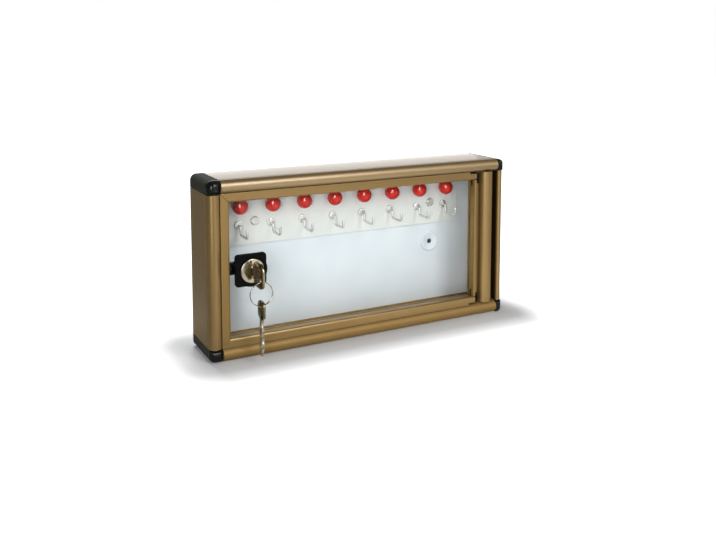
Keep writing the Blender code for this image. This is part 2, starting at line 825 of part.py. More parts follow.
def make_hinge():
    """Pivot caps at the ends of the round edge, and the flanged bushes in the case."""
    radius = hinge_radius
    reach = math.degrees(math.acos(hinge_cap_offset / radius))
    outline = arc((0, 0), radius, -reach, reach, nose_steps)
    for word, side, edge in (('top', 1, door_top), ('bottom', -1, door_bottom)):
        mesh = prism_mesh('hinge_cap_' + word, [outline], hinge_cap_height)
        place = (hinge_x, hinge_y, edge - side * hinge_cap_height / 2)
        cap = make_object('hinge_cap_' + word, mesh, frame_matrix(axis_x, axis_y, axis_z, place),
                          black, door_pivot)
        pin_start = edge - side * (door_rail_width + fit + hinge_pin_in_stile)
        pin_end = edge + side * hinge_pin_in_case
        rod_add(cap, hinge_pin_radius, (hinge_x, hinge_y, pin_start), (hinge_x, hinge_y, pin_end))

        flange = door_gap - 2 * fit
        bore = hinge_pin_radius + fit
        profile = [(bore, bush_length), (bush_radius, bush_length), (bush_radius, flange)]
        profile += [(bush_flange_radius, flange), (bush_flange_radius, 0), (bore, 0)]
        flange_z = edge + side * fit
        matrix = frame_matrix(axis_x, side * axis_y, side * axis_z, (hinge_x, hinge_y, flange_z))
        turned('hinge_bush_' + word, profile, matrix, black, closed=True)


def make_corner_keys():
    """L keys in the hollow of the two left mitres."""
    start = key_chamber_inset + fit
    end = key_chamber_inset + key_chamber_width - fit
    leg = corner_key_leg
    outline = [(start, start), (start + leg, start), (start + leg, end), (end, end)]
    outline += [(end, start + leg), (start, start + leg)]
    thickness = key_chamber_depth - 2 * fit
    centre_y = door_front + key_chamber_inset + key_chamber_depth / 2
    for word, side, edge in (('top', -1, door_top), ('bottom', 1, door_bottom)):
        loop = [(u, side * v) for u, v in outline]
        mesh = prism_mesh('door_key_' + word, [loop], thickness)
        make_object('door_key_' + word, mesh,
                    frame_matrix(axis_x, axis_z, -axis_y, (door_left, centre_y, edge)), steel,
                    door_pivot)


def make_pane():
    """The clear pane, in the grooves of the frame, with a hole for the lock barrel."""
    inset = door_rail_width - pane_seat + fit
    low = (door_left + inset, door_bottom + inset)
    high = (door_right - door_right_width + hinge_pane_seat - fit, door_top - inset)
    hole = circle((lock_x, lock_z), barrel_radius + fit)
    mesh = prism_mesh('pane', [rectangle(low, high), hole], pane_thickness)
    centre = (0, (pane_front + pane_back) / 2, 0)
    make_object('pane', mesh, frame_matrix(axis_x, axis_z, -axis_y, centre), clear, door_pivot)


# The lock

def make_lock_plate():
    """Square black plate with a round boss, in front of the pane."""
    half = plate_size / 2
    loops = [round_rectangle((-half, -half), (half, half), plate_round)]
    mesh = prism_mesh('lock_plate', loops, plate_thickness)
    centre = (lock_x, (plate_front + plate_back) / 2, lock_z)
    plate = make_object('lock_plate', mesh, frame_matrix(axis_x, axis_z, -axis_y, centre), black,
                        door_pivot)
    boss_back = plate_front + plate_thickness / 2
    rise = boss_back - boss_front
    edge = boss_edge_round
    profile = [(0, rise)] + arc((boss_radius - edge, rise - edge), edge, 90, 0)
    profile += [(boss_radius, 0), (0, 0)]
    matrix = frame_matrix(axis_x, axis_z, -axis_y, (lock_x, boss_back, lock_z))
    boss = turned('boss', profile, matrix, black, steps=ring_steps)
    parts.objects.unlink(boss)
    cutters.objects.link(boss)
    boss.hide_render = True
    boss.display_type = 'WIRE'
    combine(plate, boss, 'UNION')
    rod_cut(plate, barrel_radius + fit, (lock_x, boss_front - overrun, lock_z),
            (lock_x, plate_back + overrun, lock_z))


def make_lock_cylinder():
    """Plated barrel with a front flange, bored for the plug and slotted for the bolt."""
    edge = flange_edge_round
    flange_rise = barrel_back - flange_front
    step_rise = barrel_back - flange_back
    profile = [(0, flange_rise)] + arc((flange_radius - edge, flange_rise - edge), edge, 90, 0)
    profile += [(flange_radius, step_rise), (barrel_radius, step_rise), (barrel_radius, 0), (0, 0)]
    matrix = frame_matrix(axis_x, axis_z, -axis_y, (lock_x, barrel_back, lock_z))
    barrel = turned('lock_cylinder', profile, matrix, nickel, door_pivot, ring_steps)
    rod_cut(barrel, plug_radius + slide_gap, (lock_x, flange_front - overrun, lock_z),
            (lock_x, plug_back + slide_gap, lock_z))
    half = bolt_height / 2 + slide_gap
    side = barrel_radius + overrun
    box_cut(barrel, (lock_x - side, plug_back, lock_z - half),
            (lock_x + side, bolt_back + slide_gap, lock_z + half))


def make_lock_nut():
    """Six-sided nut that clamps the barrel to the pane."""
    loops = [circle((0, 0), nut_radius, 6), circle((0, 0), barrel_radius + fit)]
    mesh = prism_mesh('lock_nut', loops, nut_thickness)
    centre = (lock_x, pane_back + fit + nut_thickness / 2, lock_z)
    make_object('lock_nut', mesh, frame_matrix(axis_x, axis_z, -axis_y, centre), nickel, door_pivot)


def make_plug():
    """The turning plug, with its keyway and the off-centre pin that drives the bolt."""
    length = plug_back - plug_front
    profile = [(0, length), (plug_radius, length), (plug_radius, 0), (0, 0)]
    matrix = frame_matrix(axis_x, axis_z, -axis_y, (lock_x, plug_back, lock_z))
    plug = turned('lock_plug', profile, matrix, nickel, plug_pivot, ring_steps)
    rod_add(plug, drive_pin_radius, (drive_x, plug_back - slide_gap, drive_z),
            (drive_x, bolt_back, drive_z), peg_steps)
    box_cut(plug, (lock_x - keyway_width / 2, plug_front - overrun, lock_z - keyway_height / 2),
            (lock_x + keyway_width / 2, key_tip + fit, lock_z + keyway_height / 2))


def make_bolt():
    """Flat sliding bolt, with a notch that the plug's pin works in."""
    half = bolt_height / 2
    tail = drive_x + drive_pin_radius + slide_gap + bolt_tail
    notch = drive_pin_radius + slide_gap
    notch_z = drive_z - notch
    bolt_low = lock_z - half
    bolt_high = lock_z + half
    outline = arc((bolt_tip + bolt_tip_round, bolt_low + bolt_tip_round), bolt_tip_round, 180, 270)
    outline += [(tail, bolt_low), (tail, bolt_high), (drive_x + notch, bolt_high)]
    outline += [(drive_x + notch, notch_z), (drive_x - notch, notch_z), (drive_x - notch, bolt_high)]
    outline += arc((bolt_tip + bolt_tip_round, bolt_high - bolt_tip_round), bolt_tip_round, 90, 180)
    mesh = prism_mesh('bolt', [outline], bolt_thickness)
    centre = (0, (bolt_front + bolt_back) / 2, 0)
    make_object('bolt', mesh, frame_matrix(axis_x, axis_z, -axis_y, centre), black, bolt_slide)


def make_bolt_guide():
    """Bracket behind the door's left stile that keeps the bolt level."""
    half = bolt_height / 2 + slide_gap
    slot_front = bolt_front - slide_gap
    slot_back = bolt_back + slide_gap
    low = (door_left + fit, guide_front, lock_z - half - guide_wall)
    high = (door_left + fit + guide_length, slot_back + guide_wall, lock_z + half + guide_wall)
    guide = make_object('bolt_guide', box_mesh(low, high), Matrix.Identity(4), black, door_pivot)
    box_cut(guide, (low[0] - overrun, slot_front, lock_z - half),
            (high[0] + overrun, slot_back, lock_z + half))


def make_strike():
    """Channel inside the left stile of the case, slotted for the thrown bolt."""
    wall = strike_wall
    start = rail_wall + fit
    end = nose_width - strike_inset
    near = nose_depth + fit
    outline = [(start, near), (end, near), (end, near + strike_leg), (end - wall, near + strike_leg)]
    outline += [(end - wall, near + wall), (start + wall, near + wall)]
    outline += [(start + wall, near + strike_leg), (start, near + strike_leg)]
    mesh = prism_mesh('strike_plate', [outline], strike_height)
    strike = make_object('strike_plate', mesh,
                         frame_matrix(axis_x, axis_y, axis_z, (left, front, lock_z)), steel)
    half = bolt_height / 2 + slide_gap
    box_cut(strike, (left + end - wall - overrun, bolt_front - slide_gap, lock_z - half),
            (left + end + overrun, bolt_back + slide_gap, lock_z + half))


# The keys

def make_key():
    """The key in the lock: a round-cornered bow and a cut blade, as one plate."""
    half = key_blade_height / 2
    bow_half = key_bow_height / 2
    corner = key_bow_height * bow_corner_share
    tip = half * blade_tip_share
    outline = arc((bow_front + corner, lock_z - bow_half + corner), corner, 180, 270)
    outline += arc((bow_back - corner, lock_z - bow_half + corner), corner, 270, 360)
    outline += [(bow_back, lock_z - half), (key_tip - tip, lock_z - half), (key_tip, lock_z - half + tip)]
    outline += [(key_tip, lock_z + half - tip)]
    step = (key_tip - tip - bow_back - key_neck_length) / len(cut_depth_shares)
    for index, share in enumerate(cut_depth_shares):
        high_y = key_tip - tip - index * step
        outline += [(high_y, lock_z + half), (high_y - step / 2, lock_z + half - key_cut_depth * share)]
    outline += [(bow_back + key_neck_length, lock_z + half), (bow_back, lock_z + half)]
    outline += arc((bow_back - corner, lock_z + bow_half - corner), corner, 0, 90)
    outline += arc((bow_front + corner, lock_z + bow_half - corner), corner, 90, 180)
    hole = circle((ring_hole_y, ring_hole_z), key_hole_radius)
    mesh = prism_mesh('key', [outline, hole], key_plate)
    make_object('key', mesh, frame_matrix(axis_y, axis_z, axis_x, (lock_x, 0, 0)), steel, key_slide)


def make_ring():
    """The split ring's round wire, through the key's hole."""
    mesh = bpy.data.meshes.new('key_ring')
    shape = bmesh.new()
    section = bmesh.ops.create_circle(shape, cap_ends=False, segments=peg_rings,
                                      radius=ring_wire_radius)
    bmesh.ops.rotate(shape, cent=(0, 0, 0), verts=section['verts'],
                     matrix=Matrix.Rotation(math.radians(90), 3, 'X'))
    bmesh.ops.translate(shape, vec=(ring_radius, 0, 0), verts=section['verts'])
    shape.to_mesh(mesh)
    shape.free()
    matrix = frame_matrix(axis_x, axis_z, -axis_y, (lock_x, ring_hole_y, ring_centre_z))
    ring = make_object('key_ring', mesh, matrix, nickel, ring_pivot)
    screw = ring.modifiers.new('Turn', 'SCREW')
    screw.steps = ring_steps
    screw.render_steps = ring_steps
    screw.use_merge_vertices = True
    screw.merge_threshold = weld_distance
    screw.use_smooth_shade = True


def make_spare_key():
    """The second key, hanging from the ring with its blade down."""
    half_bow = spare_bow_width / 2
    half = spare_blade_width / 2
    corner = spare_bow_width * bow_corner_share
    bow_top = spare_hole_z + spare_hole_from_top
    bow_low = bow_top - spare_bow_length
    tip_z = bow_low - spare_blade_length
    tip = half * blade_tip_share
    middle = ring_hole_y
    outline = arc((middle + half_bow - corner, bow_top - corner), corner, 0, 90)
    outline += arc((middle - half_bow + corner, bow_top - corner), corner, 90, 180)
    outline += arc((middle - half_bow + corner, bow_low + corner), corner, 180, 270)
    outline += [(middle - half, bow_low), (middle - half, tip_z + tip), (middle - half + tip, tip_z)]
    outline += [(middle + half - tip, tip_z)]
    step = (spare_blade_length - tip - key_neck_length) / len(cut_depth_shares)
    for index, share in enumerate(cut_depth_shares):
        low_z = tip_z + tip + index * step
        outline += [(middle + half, low_z), (middle + half - key_cut_depth * share, low_z + step / 2)]
    outline += [(middle + half, bow_low - key_neck_length), (middle + half, bow_low)]
    outline += arc((middle + half_bow - corner, bow_low + corner), corner, 270, 360)
    hole = circle((middle, spare_hole_z), spare_hole_radius)
    mesh = prism_mesh('spare_key', [outline, hole], key_plate)
    make_object('spare_key', mesh, frame_matrix(axis_y, axis_z, axis_x, (lock_x, 0, 0)), steel,
                spare_pivot)


for old in list(bpy.data.objects):
    bpy.data.objects.remove(old)
parts = bpy.data.collections.new('key_cabinet')
cutters = bpy.data.collections.new('cutters')
bpy.context.scene.collection.children.link(parts)
bpy.context.scene.collection.children.link(cutters)

gold = finish('gold_anodised', (0.33, 0.21, 0.09), 0.42, 0.8)
black = finish('black_plastic', (0.012, 0.012, 0.012), 0.4, 0.0)
white = finish('white_panel', (0.72, 0.75, 0.76), 0.5, 0.0)
red = finish('red_plastic', (0.55, 0.01, 0.01), 0.25, 0.0)
nickel = finish('nickel', (0.62, 0.60, 0.55), 0.22, 1.0)
steel = finish('steel', (0.55, 0.53, 0.48), 0.3, 1.0)
clear = finish('clear_sheet', (0.9, 0.93, 0.93), 0.05, 0.0)

door_pivot = empty('door_pivot', (hinge_x, hinge_y, 0))
plug_pivot = empty('plug_pivot', (lock_x, plug_front, lock_z), door_pivot)
bolt_slide = empty('bolt_slide', (lock_x, bolt_front, lock_z), door_pivot)
key_slide = empty('key_slide', (lock_x, plug_front, lock_z), plug_pivot)
ring_pivot = empty('ring_pivot', (lock_x, ring_hole_y, ring_top_z), key_slide)
spare_pivot = empty('spare_pivot', (lock_x, ring_hole_y, ring_bottom_z), ring_pivot)

make_case_rails()
make_corners()
make_back_panel()
make_wall_rings()
make_wall_grommets()
make_strip()
make_pegs()
make_hooks()
make_door_frame()
make_hinge()
make_corner_keys()
make_pane()
make_lock_plate()
make_lock_cylinder()
make_lock_nut()
make_plug()
make_bolt()
make_bolt_guide()
make_strike()
make_key()
make_ring()
make_spare_key()
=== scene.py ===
"""Looks of the key cabinet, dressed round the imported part.

Metres, +Z up, in the part's own frame: the origin is the centre of the back face, X
runs to the right as seen from the front, Y runs back into the wall and Z runs up.
"""
import json
import math

import bmesh
import bpy
from mathutils import Matrix, Vector

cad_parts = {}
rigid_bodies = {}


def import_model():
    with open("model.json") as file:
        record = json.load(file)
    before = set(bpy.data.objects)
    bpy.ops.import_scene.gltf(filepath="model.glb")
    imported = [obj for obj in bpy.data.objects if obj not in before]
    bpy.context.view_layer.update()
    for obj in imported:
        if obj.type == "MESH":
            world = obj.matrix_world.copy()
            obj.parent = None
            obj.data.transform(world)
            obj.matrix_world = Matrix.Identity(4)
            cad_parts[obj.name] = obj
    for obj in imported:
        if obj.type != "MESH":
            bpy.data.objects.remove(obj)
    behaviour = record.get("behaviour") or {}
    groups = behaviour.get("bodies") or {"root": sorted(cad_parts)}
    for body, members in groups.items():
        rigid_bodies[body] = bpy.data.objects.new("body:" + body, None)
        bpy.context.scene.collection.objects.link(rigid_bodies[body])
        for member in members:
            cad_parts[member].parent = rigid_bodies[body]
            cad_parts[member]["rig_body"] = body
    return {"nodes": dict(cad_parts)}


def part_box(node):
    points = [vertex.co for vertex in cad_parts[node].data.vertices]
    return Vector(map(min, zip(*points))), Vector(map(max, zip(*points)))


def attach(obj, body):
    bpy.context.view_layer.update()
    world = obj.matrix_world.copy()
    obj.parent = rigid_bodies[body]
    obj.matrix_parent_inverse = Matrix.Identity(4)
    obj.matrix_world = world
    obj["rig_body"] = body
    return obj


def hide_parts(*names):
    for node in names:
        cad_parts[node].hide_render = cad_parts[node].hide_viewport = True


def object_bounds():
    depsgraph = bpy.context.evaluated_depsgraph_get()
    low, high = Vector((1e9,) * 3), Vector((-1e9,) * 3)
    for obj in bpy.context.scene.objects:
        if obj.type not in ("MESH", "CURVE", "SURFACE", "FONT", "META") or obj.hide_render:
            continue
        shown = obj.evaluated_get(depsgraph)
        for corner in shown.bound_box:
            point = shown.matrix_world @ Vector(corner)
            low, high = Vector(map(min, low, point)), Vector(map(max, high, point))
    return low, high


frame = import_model()
cad_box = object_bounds()

scene = bpy.context.scene
scene.view_settings.view_transform = 'Standard'


# Camera, at the photograph's viewing angle

camera_tilt = 84.409
camera_turn = -27.753
camera_data = bpy.data.cameras.new('camera')
camera_data.sensor_width = 36
camera_data.lens = 40.57
camera_data.shift_y = -0.2
camera_data.clip_start = 0.01
camera_data.clip_end = 50
camera = bpy.data.objects.new('camera', camera_data)
camera.location = (-0.3432, -0.6803, 0.1856)
camera.rotation_euler = (math.radians(camera_tilt), 0, math.radians(camera_turn))
scene.collection.objects.link(camera)
scene.camera = camera


# Node helpers

def feed(tree, socket, value):
    """Link a socket to another one, or give it a plain value."""
    if isinstance(value, bpy.types.NodeSocket):
        tree.links.new(value, socket)
    else:
        socket.default_value = value


def add_node(tree, kind, inputs=None, **settings):
    """Add a node with its settings and its inputs, linked or plain."""
    made = tree.nodes.new(kind)
    for name, value in settings.items():
        setattr(made, name, value)
    for name, value in (inputs or {}).items():
        feed(tree, made.inputs[name], value)
    return made


def combine(tree, operation, first, second):
    """Work out one number from two."""
    made = add_node(tree, 'ShaderNodeMath', {0: first, 1: second}, operation=operation)
    return made.outputs['Value']


def combine_vectors(tree, operation, *given, output='Vector'):
    """Work out a vector, or with the output Value a number, from one or two vectors."""
    made = add_node(tree, 'ShaderNodeVectorMath', dict(enumerate(given)), operation=operation)
    return made.outputs[output]


def place_on_piece(tree):
    """The place on the piece, in the part's frame."""
    return add_node(tree, 'ShaderNodeTexCoord').outputs['Object']


def axes_of(tree, vector):
    """The X, Y and Z of a vector."""
    return add_node(tree, 'ShaderNodeSeparateXYZ', {'Vector': vector}).outputs


def noise(tree, scale, detail, roughness, axis_scales=(1, 1, 1)):
    """Soft random spots from zero to one on the piece, scaled along its axes."""
    mapping = add_node(tree, 'ShaderNodeMapping', {
        'Vector': place_on_piece(tree), 'Scale': axis_scales})
    made = add_node(tree, 'ShaderNodeTexNoise', {
        'Vector': mapping.outputs['Vector'], 'Scale': scale, 'Detail': detail,
        'Roughness': roughness})
    return made.outputs['Fac']


def cloudiness(tree, scale):
    """Slow changes of tone over a surface."""
    return noise(tree, scale, detail=3.0, roughness=0.5)


def fine_grain(tree, scale):
    """Fine bumps of a moulded or sprayed surface."""
    return noise(tree, scale, detail=2.0, roughness=0.5)


def tool_marks(tree, axis_scales):
    """Marks of drawing or grinding, longest along the axis that is scaled least."""
    return noise(tree, 1.0, detail=4.0, roughness=0.6, axis_scales=axis_scales)


def spread(tree, value, low=0.0, high=1.0, start=0.3, end=0.7):
    """Stretch a value that runs from start to end over low to high."""
    made = add_node(tree, 'ShaderNodeMapRange', {
        'Value': value, 'From Min': start, 'From Max': end, 'To Min': low, 'To Max': high})
    return made.outputs['Result']


def blend(tree, share, first, second):
    """Mix two colours by a share. A plain colour is its red, green and blue."""
    made = add_node(tree, 'ShaderNodeMix', {0: share}, data_type='RGBA')
    for socket, colour in ((made.inputs[6], first), (made.inputs[7], second)):
        if isinstance(colour, tuple):
            colour = (*colour, 1)
        feed(tree, socket, colour)
    return made.outputs[2]


def tinted(colour, shares):
    """A colour with each of its channels multiplied by a share."""
    return tuple(channel * share for channel, share in zip(colour, shares))


def rubbed(tree, body, pale, amount, radius, gain):
    """A body colour that turns paler by an amount along its sharp outer edges."""
    eased = add_node(tree, 'ShaderNodeBevel', {'Radius': radius}, samples=4)
    face = add_node(tree, 'ShaderNodeNewGeometry')
    likeness = combine_vectors(tree, 'DOT_PRODUCT', eased.outputs['Normal'],
                               face.outputs['Normal'], output='Value')
    edge = spread(tree, likeness, 0.0, 1.0, start=1.0, end=1.0 - gain)
    return blend(tree, combine(tree, 'MULTIPLY', edge, amount), body, pale)


def new_finish(name, slot_colour, settings):
    """A material with its shader's plain values set on the shader."""
    material = bpy.data.materials.new(name)
    material.use_nodes = True
    tree = material.node_tree
    shader = tree.nodes['Principled BSDF']
    shader.inputs['Base Color'].default_value = (*slot_colour, 1)
    for key, value in settings.items():
        shader.inputs[key].default_value = value
    return material, tree, shader


def dress(tree, shader, colour, roughness, height, strength, depth):
    """Link a colour, a roughness and a bump height to the shader."""
    bump = add_node(tree, 'ShaderNodeBump', {
        'Strength': strength, 'Distance': depth, 'Height': height})
    tree.links.new(colour, shader.inputs['Base Color'])
    tree.links.new(roughness, shader.inputs['Roughness'])
    tree.links.new(bump.outputs['Normal'], shader.inputs['Normal'])


# Finishes

def channel_painted_shade_share(tree):
    """Share of painted shade inside the channel of the case's right stile: one inside it, fading in
    with its depth.
    """
    left_wall = (0.1397, 0.1400)
    right_wall = (0.1450, 0.1453)
    mouth = (-0.0480, -0.0455)
    bottom = (-0.0370, -0.0350)
    axes = axes_of(tree, place_on_piece(tree))
    share = 1.0
    for axis, limits, low, high in (('X', left_wall, 0.0, 1.0), ('X', right_wall, 1.0, 0.0),
                                    ('Y', mouth, 0.0, 1.0), ('Y', bottom, 1.0, 0.0)):
        share = combine(tree, 'MULTIPLY', share, spread(tree, axes[axis], low, high, *limits))
    return share


def gold_anodised(name, axis_scales, seal, low, high, channel=False):
    """Satin gold anodising with faint drawing marks along the extrusion; with channel set, painted
    shade darkens the inside of the right stile's channel.
    """
    gold = (0.345, 0.226, 0.084)
    dark = (0.280, 0.176, 0.062)
    pale = tinted(gold, (1.45, 1.5, 1.7))
    # Painted shade for the inside of the right stile's channel.
    painted_channel_shade = (0.055, 0.033, 0.013)
    material, tree, shader = new_finish(name, gold, {
        'Metallic': 0.78, 'IOR': 1.5, 'Specular IOR Level': 0.3, 'Coat Weight': seal,
        'Coat IOR': 1.5 + 0.4 * seal, 'Coat Roughness': 0.34})
    marks = tool_marks(tree, axis_scales)
    clouds = cloudiness(tree, 45.0)
    body = blend(tree, spread(tree, marks), dark, gold)
    body = blend(tree, spread(tree, clouds, 0.0, 0.35), body, gold)
    body = rubbed(tree, body, pale, spread(tree, clouds, 0.15, 0.6), radius=0.0006, gain=0.12)
    # Painted shade: the inside of the channel is darkened, fading in from its mouth.
    if channel:
        body = blend(tree, channel_painted_shade_share(tree), body, painted_channel_shade)
    dress(tree, shader, body, spread(tree, marks, low, high), marks, strength=0.10, depth=0.0001)
    return material


def black_moulding(name, shine):
    """Black moulded plastic with a fine grain."""
    material, tree, shader = new_finish(name, (0.004, 0.004, 0.004), {
        'Metallic': 0.0, 'IOR': 1.5, 'Specular IOR Level': 0.04, 'Coat Weight': shine,
        'Coat Roughness': 0.12})
    clouds = cloudiness(tree, 160.0)
    body = blend(tree, spread(tree, clouds), (0.003, 0.003, 0.003), (0.006, 0.006, 0.006))
    body = rubbed(tree, body, (0.07, 0.07, 0.072), 0.25, radius=0.0004, gain=0.15)
    dress(tree, shader, body, spread(tree, clouds, 0.30, 0.45), fine_grain(tree, 2600.0),
          strength=0.12, depth=0.00005)
    return material


def corner_moulding(name):
    """Corner plastic: polished in front, drab and matt on the skirt behind its seam."""
    seam = (-0.0440, -0.0425)
    material, tree, shader = new_finish(name, (0.006, 0.006, 0.006), {
        'Metallic': 0.0, 'IOR': 1.5, 'Specular IOR Level': 0.30})
    skirt = spread(tree, axes_of(tree, place_on_piece(tree))['Y'], 0.0, 1.0, *seam)
    clouds = spread(tree, cloudiness(tree, 160.0))
    front = blend(tree, clouds, (0.004, 0.004, 0.004), (0.008, 0.008, 0.008))
    back = blend(tree, clouds, (0.016, 0.018, 0.013), (0.026, 0.029, 0.022))
    body = blend(tree, skirt, front, back)
    body = rubbed(tree, body, (0.08, 0.08, 0.08), 0.3, radius=0.0004, gain=0.15)
    dress(tree, shader, body, spread(tree, skirt, 0.16, 0.55, start=0.0, end=1.0),
          fine_grain(tree, 2600.0), strength=0.10, depth=0.00005)
    return material


def white_panel(name, colour, roughness):
    """Lacquer with a faint cloudiness and the texture of sprayed paint."""
    unevenness = 0.1
    material, tree, shader = new_finish(name, colour, {
        'Metallic': 0.0, 'IOR': 1.5, 'Specular IOR Level': 0.4})
    shade = tinted(colour, (0.94, 0.95, 0.96))
    grey = tinted(colour, (0.8, 0.8, 0.8))
    clouds = cloudiness(tree, 30.0)
    body = blend(tree, spread(tree, clouds), shade, colour)
    body = rubbed(tree, body, grey, 0.5, radius=0.0004, gain=0.2)
    dress(tree, shader, body, spread(tree, clouds, roughness, roughness + unevenness),
          fine_grain(tree, 900.0), strength=0.08, depth=0.00005)
    return material


def red_plastic(name):
    """Glossy red plastic of the peg heads, with painted shade darkening it towards the rim."""
    material, tree, shader = new_finish(name, (0.74, 0.016, 0.009), {
        'Metallic': 0.0, 'IOR': 1.5, 'Specular IOR Level': 0.3, 'Coat Weight': 0.2,
        'Coat Roughness': 0.10})
    clouds = cloudiness(tree, 260.0)
    body = blend(tree, spread(tree, clouds), (0.70, 0.014, 0.007), (0.84, 0.024, 0.012))
    # Painted shade: the colour darkens towards the rim, where the surface turns away from view.
    facing = add_node(tree, 'ShaderNodeLayerWeight', {'Blend': 0.35}).outputs['Facing']
    rim = spread(tree, facing, 0.0, 0.75, start=0.1, end=0.8)
    body = blend(tree, rim, body, (0.12, 0.008, 0.005))
    dress(tree, shader, body, spread(tree, clouds, 0.16, 0.28), fine_grain(tree, 1400.0),
          strength=0.05, depth=0.00005)
    return material


def plated_metal(name, colour, low, high, axis_scales, metallic=1.0):
    """Plated or ground metal with fine marks, brighter where its edges are rubbed."""
    material, tree, shader = new_finish(name, colour, {
        'Metallic': metallic, 'IOR': 1.5, 'Specular IOR Level': 0.5})
    shade = tinted(colour, (0.78, 0.77, 0.75))
    bright = tuple(min(1.0, channel * 1.3) for channel in colour)
    marks = tool_marks(tree, axis_scales)
    body = blend(tree, spread(tree, cloudiness(tree, 220.0)), shade, colour)
    body = rubbed(tree, body, bright, 0.6, radius=0.0003, gain=0.15)
    dress(tree, shader, body, spread(tree, marks, low, high), marks, strength=0.08, depth=0.00005)
    return material


def two_tone_key(name, bow, blade, level):
    """Key metal that is dark and handled on the bow and bright on the blade below a level."""
    fade = 0.0008
    material, tree, shader = new_finish(name, blade, {
        'Metallic': 1.0, 'IOR': 1.5, 'Specular IOR Level': 0.5})
    marks = tool_marks(tree, key_marks)
    clouds = cloudiness(tree, 220.0)
    height = axes_of(tree, place_on_piece(tree))['Z']
    height = spread(tree, height, 0.0, 1.0, level - fade, level + fade)
    body = blend(tree, height, blade, bow)
    body = blend(tree, spread(tree, clouds, 0.0, 0.35), body, (0.12, 0.10, 0.06))
    body = rubbed(tree, body, (0.85, 0.82, 0.74), 0.6, radius=0.0003, gain=0.15)
    dress(tree, shader, body, spread(tree, marks, 0.16, 0.30), marks, strength=0.08, depth=0.00005)
    return material


def clear_pane(name):
    """Clear acrylic sheet with the faintest haze, which lets the lamps' light through."""
    material, tree, shader = new_finish(name, (0.96, 0.98, 0.985), {
        'Metallic': 0.0, 'IOR': 1.2, 'Transmission Weight': 1.0, 'Specular IOR Level': 0.5})
    haze = cloudiness(tree, 60.0)
    body = blend(tree, spread(tree, haze), (0.95, 0.975, 0.98), (0.98, 0.99, 0.99))
    dress(tree, shader, body, spread(tree, haze, 0.01, 0.035), haze, strength=0.01, depth=0.0001)
    path = add_node(tree, 'ShaderNodeLightPath').outputs
    through = combine(tree, 'MAXIMUM', path['Is Shadow Ray'], path['Is Diffuse Ray'])
    lamp_side = add_node(tree, 'ShaderNodeBsdfTransparent', {'Color': (0.95, 0.97, 0.97, 1)})
    sheet = add_node(tree, 'ShaderNodeMixShader', {
        'Fac': through, 1: shader.outputs['BSDF'], 2: lamp_side.outputs['BSDF']})
    tree.links.new(sheet.outputs['Shader'], tree.nodes['Material Output'].inputs['Surface'])
    return material


along_x = (5, 700, 700)
along_z = (700, 700, 5)
all_round = (300, 300, 300)
steel_marks = (120, 900, 900)
key_marks = (500, 90, 90)
gold_door_rail = gold_anodised('gold_anodised_along', along_x, 0.35, 0.30, 0.40)
gold_left = gold_anodised('gold_anodised_upright', along_z, 0.4, 0.32, 0.42)
# The right stile's finish has painted shade inside its channel.
gold_right = gold_anodised('gold_anodised_right', along_z, 0.4, 0.32, 0.42, channel=True)
gold_door_stile = gold_anodised('gold_anodised_door_upright', along_z, 0.0, 0.42, 0.52)
gold_top = gold_anodised('gold_anodised_top', along_x, 1.0, 0.42, 0.50)
gold_low = gold_anodised('gold_anodised_low', along_x, 0.0, 0.56, 0.68)
black_gloss = black_moulding('black_moulding_gloss', 0.3)
black_matt = black_moulding('black_moulding_matt', 0.0)
rubber_grey = white_panel('rubber_grey', (0.055, 0.055, 0.055), 0.55)
corner_black = corner_moulding('corner_black')
panel_white = white_panel('panel_white', (0.79, 0.825, 0.855), 0.38)
strip_white = white_panel('strip_white', (0.84, 0.835, 0.80), 0.42)
peg_red = red_plastic('peg_red')
nickel = plated_metal('nickel', (0.62, 0.56, 0.46), 0.14, 0.26, all_round)
zinc = plated_metal('zinc', (0.78, 0.78, 0.76), 0.34, 0.46, all_round, 0.7)
steel = plated_metal('steel', (0.55, 0.54, 0.52), 0.22, 0.38, steel_marks)
key_metal = plated_metal('key_metal', (0.36, 0.31, 0.22), 0.16, 0.30, key_marks)
lock_brass = plated_metal('lock_brass', (0.42, 0.34, 0.19), 0.16, 0.28, all_round)
lock_chrome = plated_metal('lock_chrome', (0.70, 0.65, 0.54), 0.12, 0.24, all_round)
pane_clear = clear_pane('pane_clear')


# Piece helpers

fit = 0.0003                # gap between two pieces that touch
edge_round = 0.0002         # easing of a sharp edge
flat = 1                    # degrees up to which two faces are one flat
crease = 34                 # degrees from which an edge stays crisp
weld_gap = 0.000002         # points closer than this are merged
fine_weld_gap = 0.000001    # the same, on the keys


def smooth_by_angle(mesh, degrees=crease):
    """Smooth shading with crisp edges where two faces meet at a clear angle."""
    shape = bmesh.new()
    shape.from_mesh(mesh)
    limit = math.radians(degrees)
    for face in shape.faces:
        face.smooth = True
    for edge in shape.edges:
        edge.smooth = edge.is_manifold and edge.calc_face_angle(0) < limit
    shape.to_mesh(mesh)
    shape.free()


def weld(mesh, gap):
    """Merge a mesh's doubles and turn its faces outwards."""
    shape = bmesh.new()
    shape.from_mesh(mesh)
    bmesh.ops.remove_doubles(shape, verts=shape.verts, dist=gap)
    bmesh.ops.recalc_face_normals(shape, faces=shape.faces)
    shape.to_mesh(mesh)
    shape.free()


def helper(name, data):
    """An object that a tree, a cut or a conversion uses and that is removed after it."""
    made = bpy.data.objects.new(name, data)
    scene.collection.objects.link(made)
    return made


def plain_mesh(made_by):
    """The plain mesh that a helper's modifiers or curve give; the helper is removed."""
    bpy.context.view_layer.update()
    depsgraph = bpy.context.evaluated_depsgraph_get()
    mesh = bpy.data.meshes.new_from_object(made_by.evaluated_get(depsgraph))
    bpy.data.objects.remove(made_by)
    return mesh


def finished_piece(name, mesh, material, body, nodes):
    """Link a mesh as a piece that rides on a body and stands for CAD nodes."""
    piece = bpy.data.objects.new(name, mesh)
    scene.collection.objects.link(piece)
    mesh.materials.clear()
    mesh.materials.append(material)
    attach(piece, body)
    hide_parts(*nodes)
    return piece


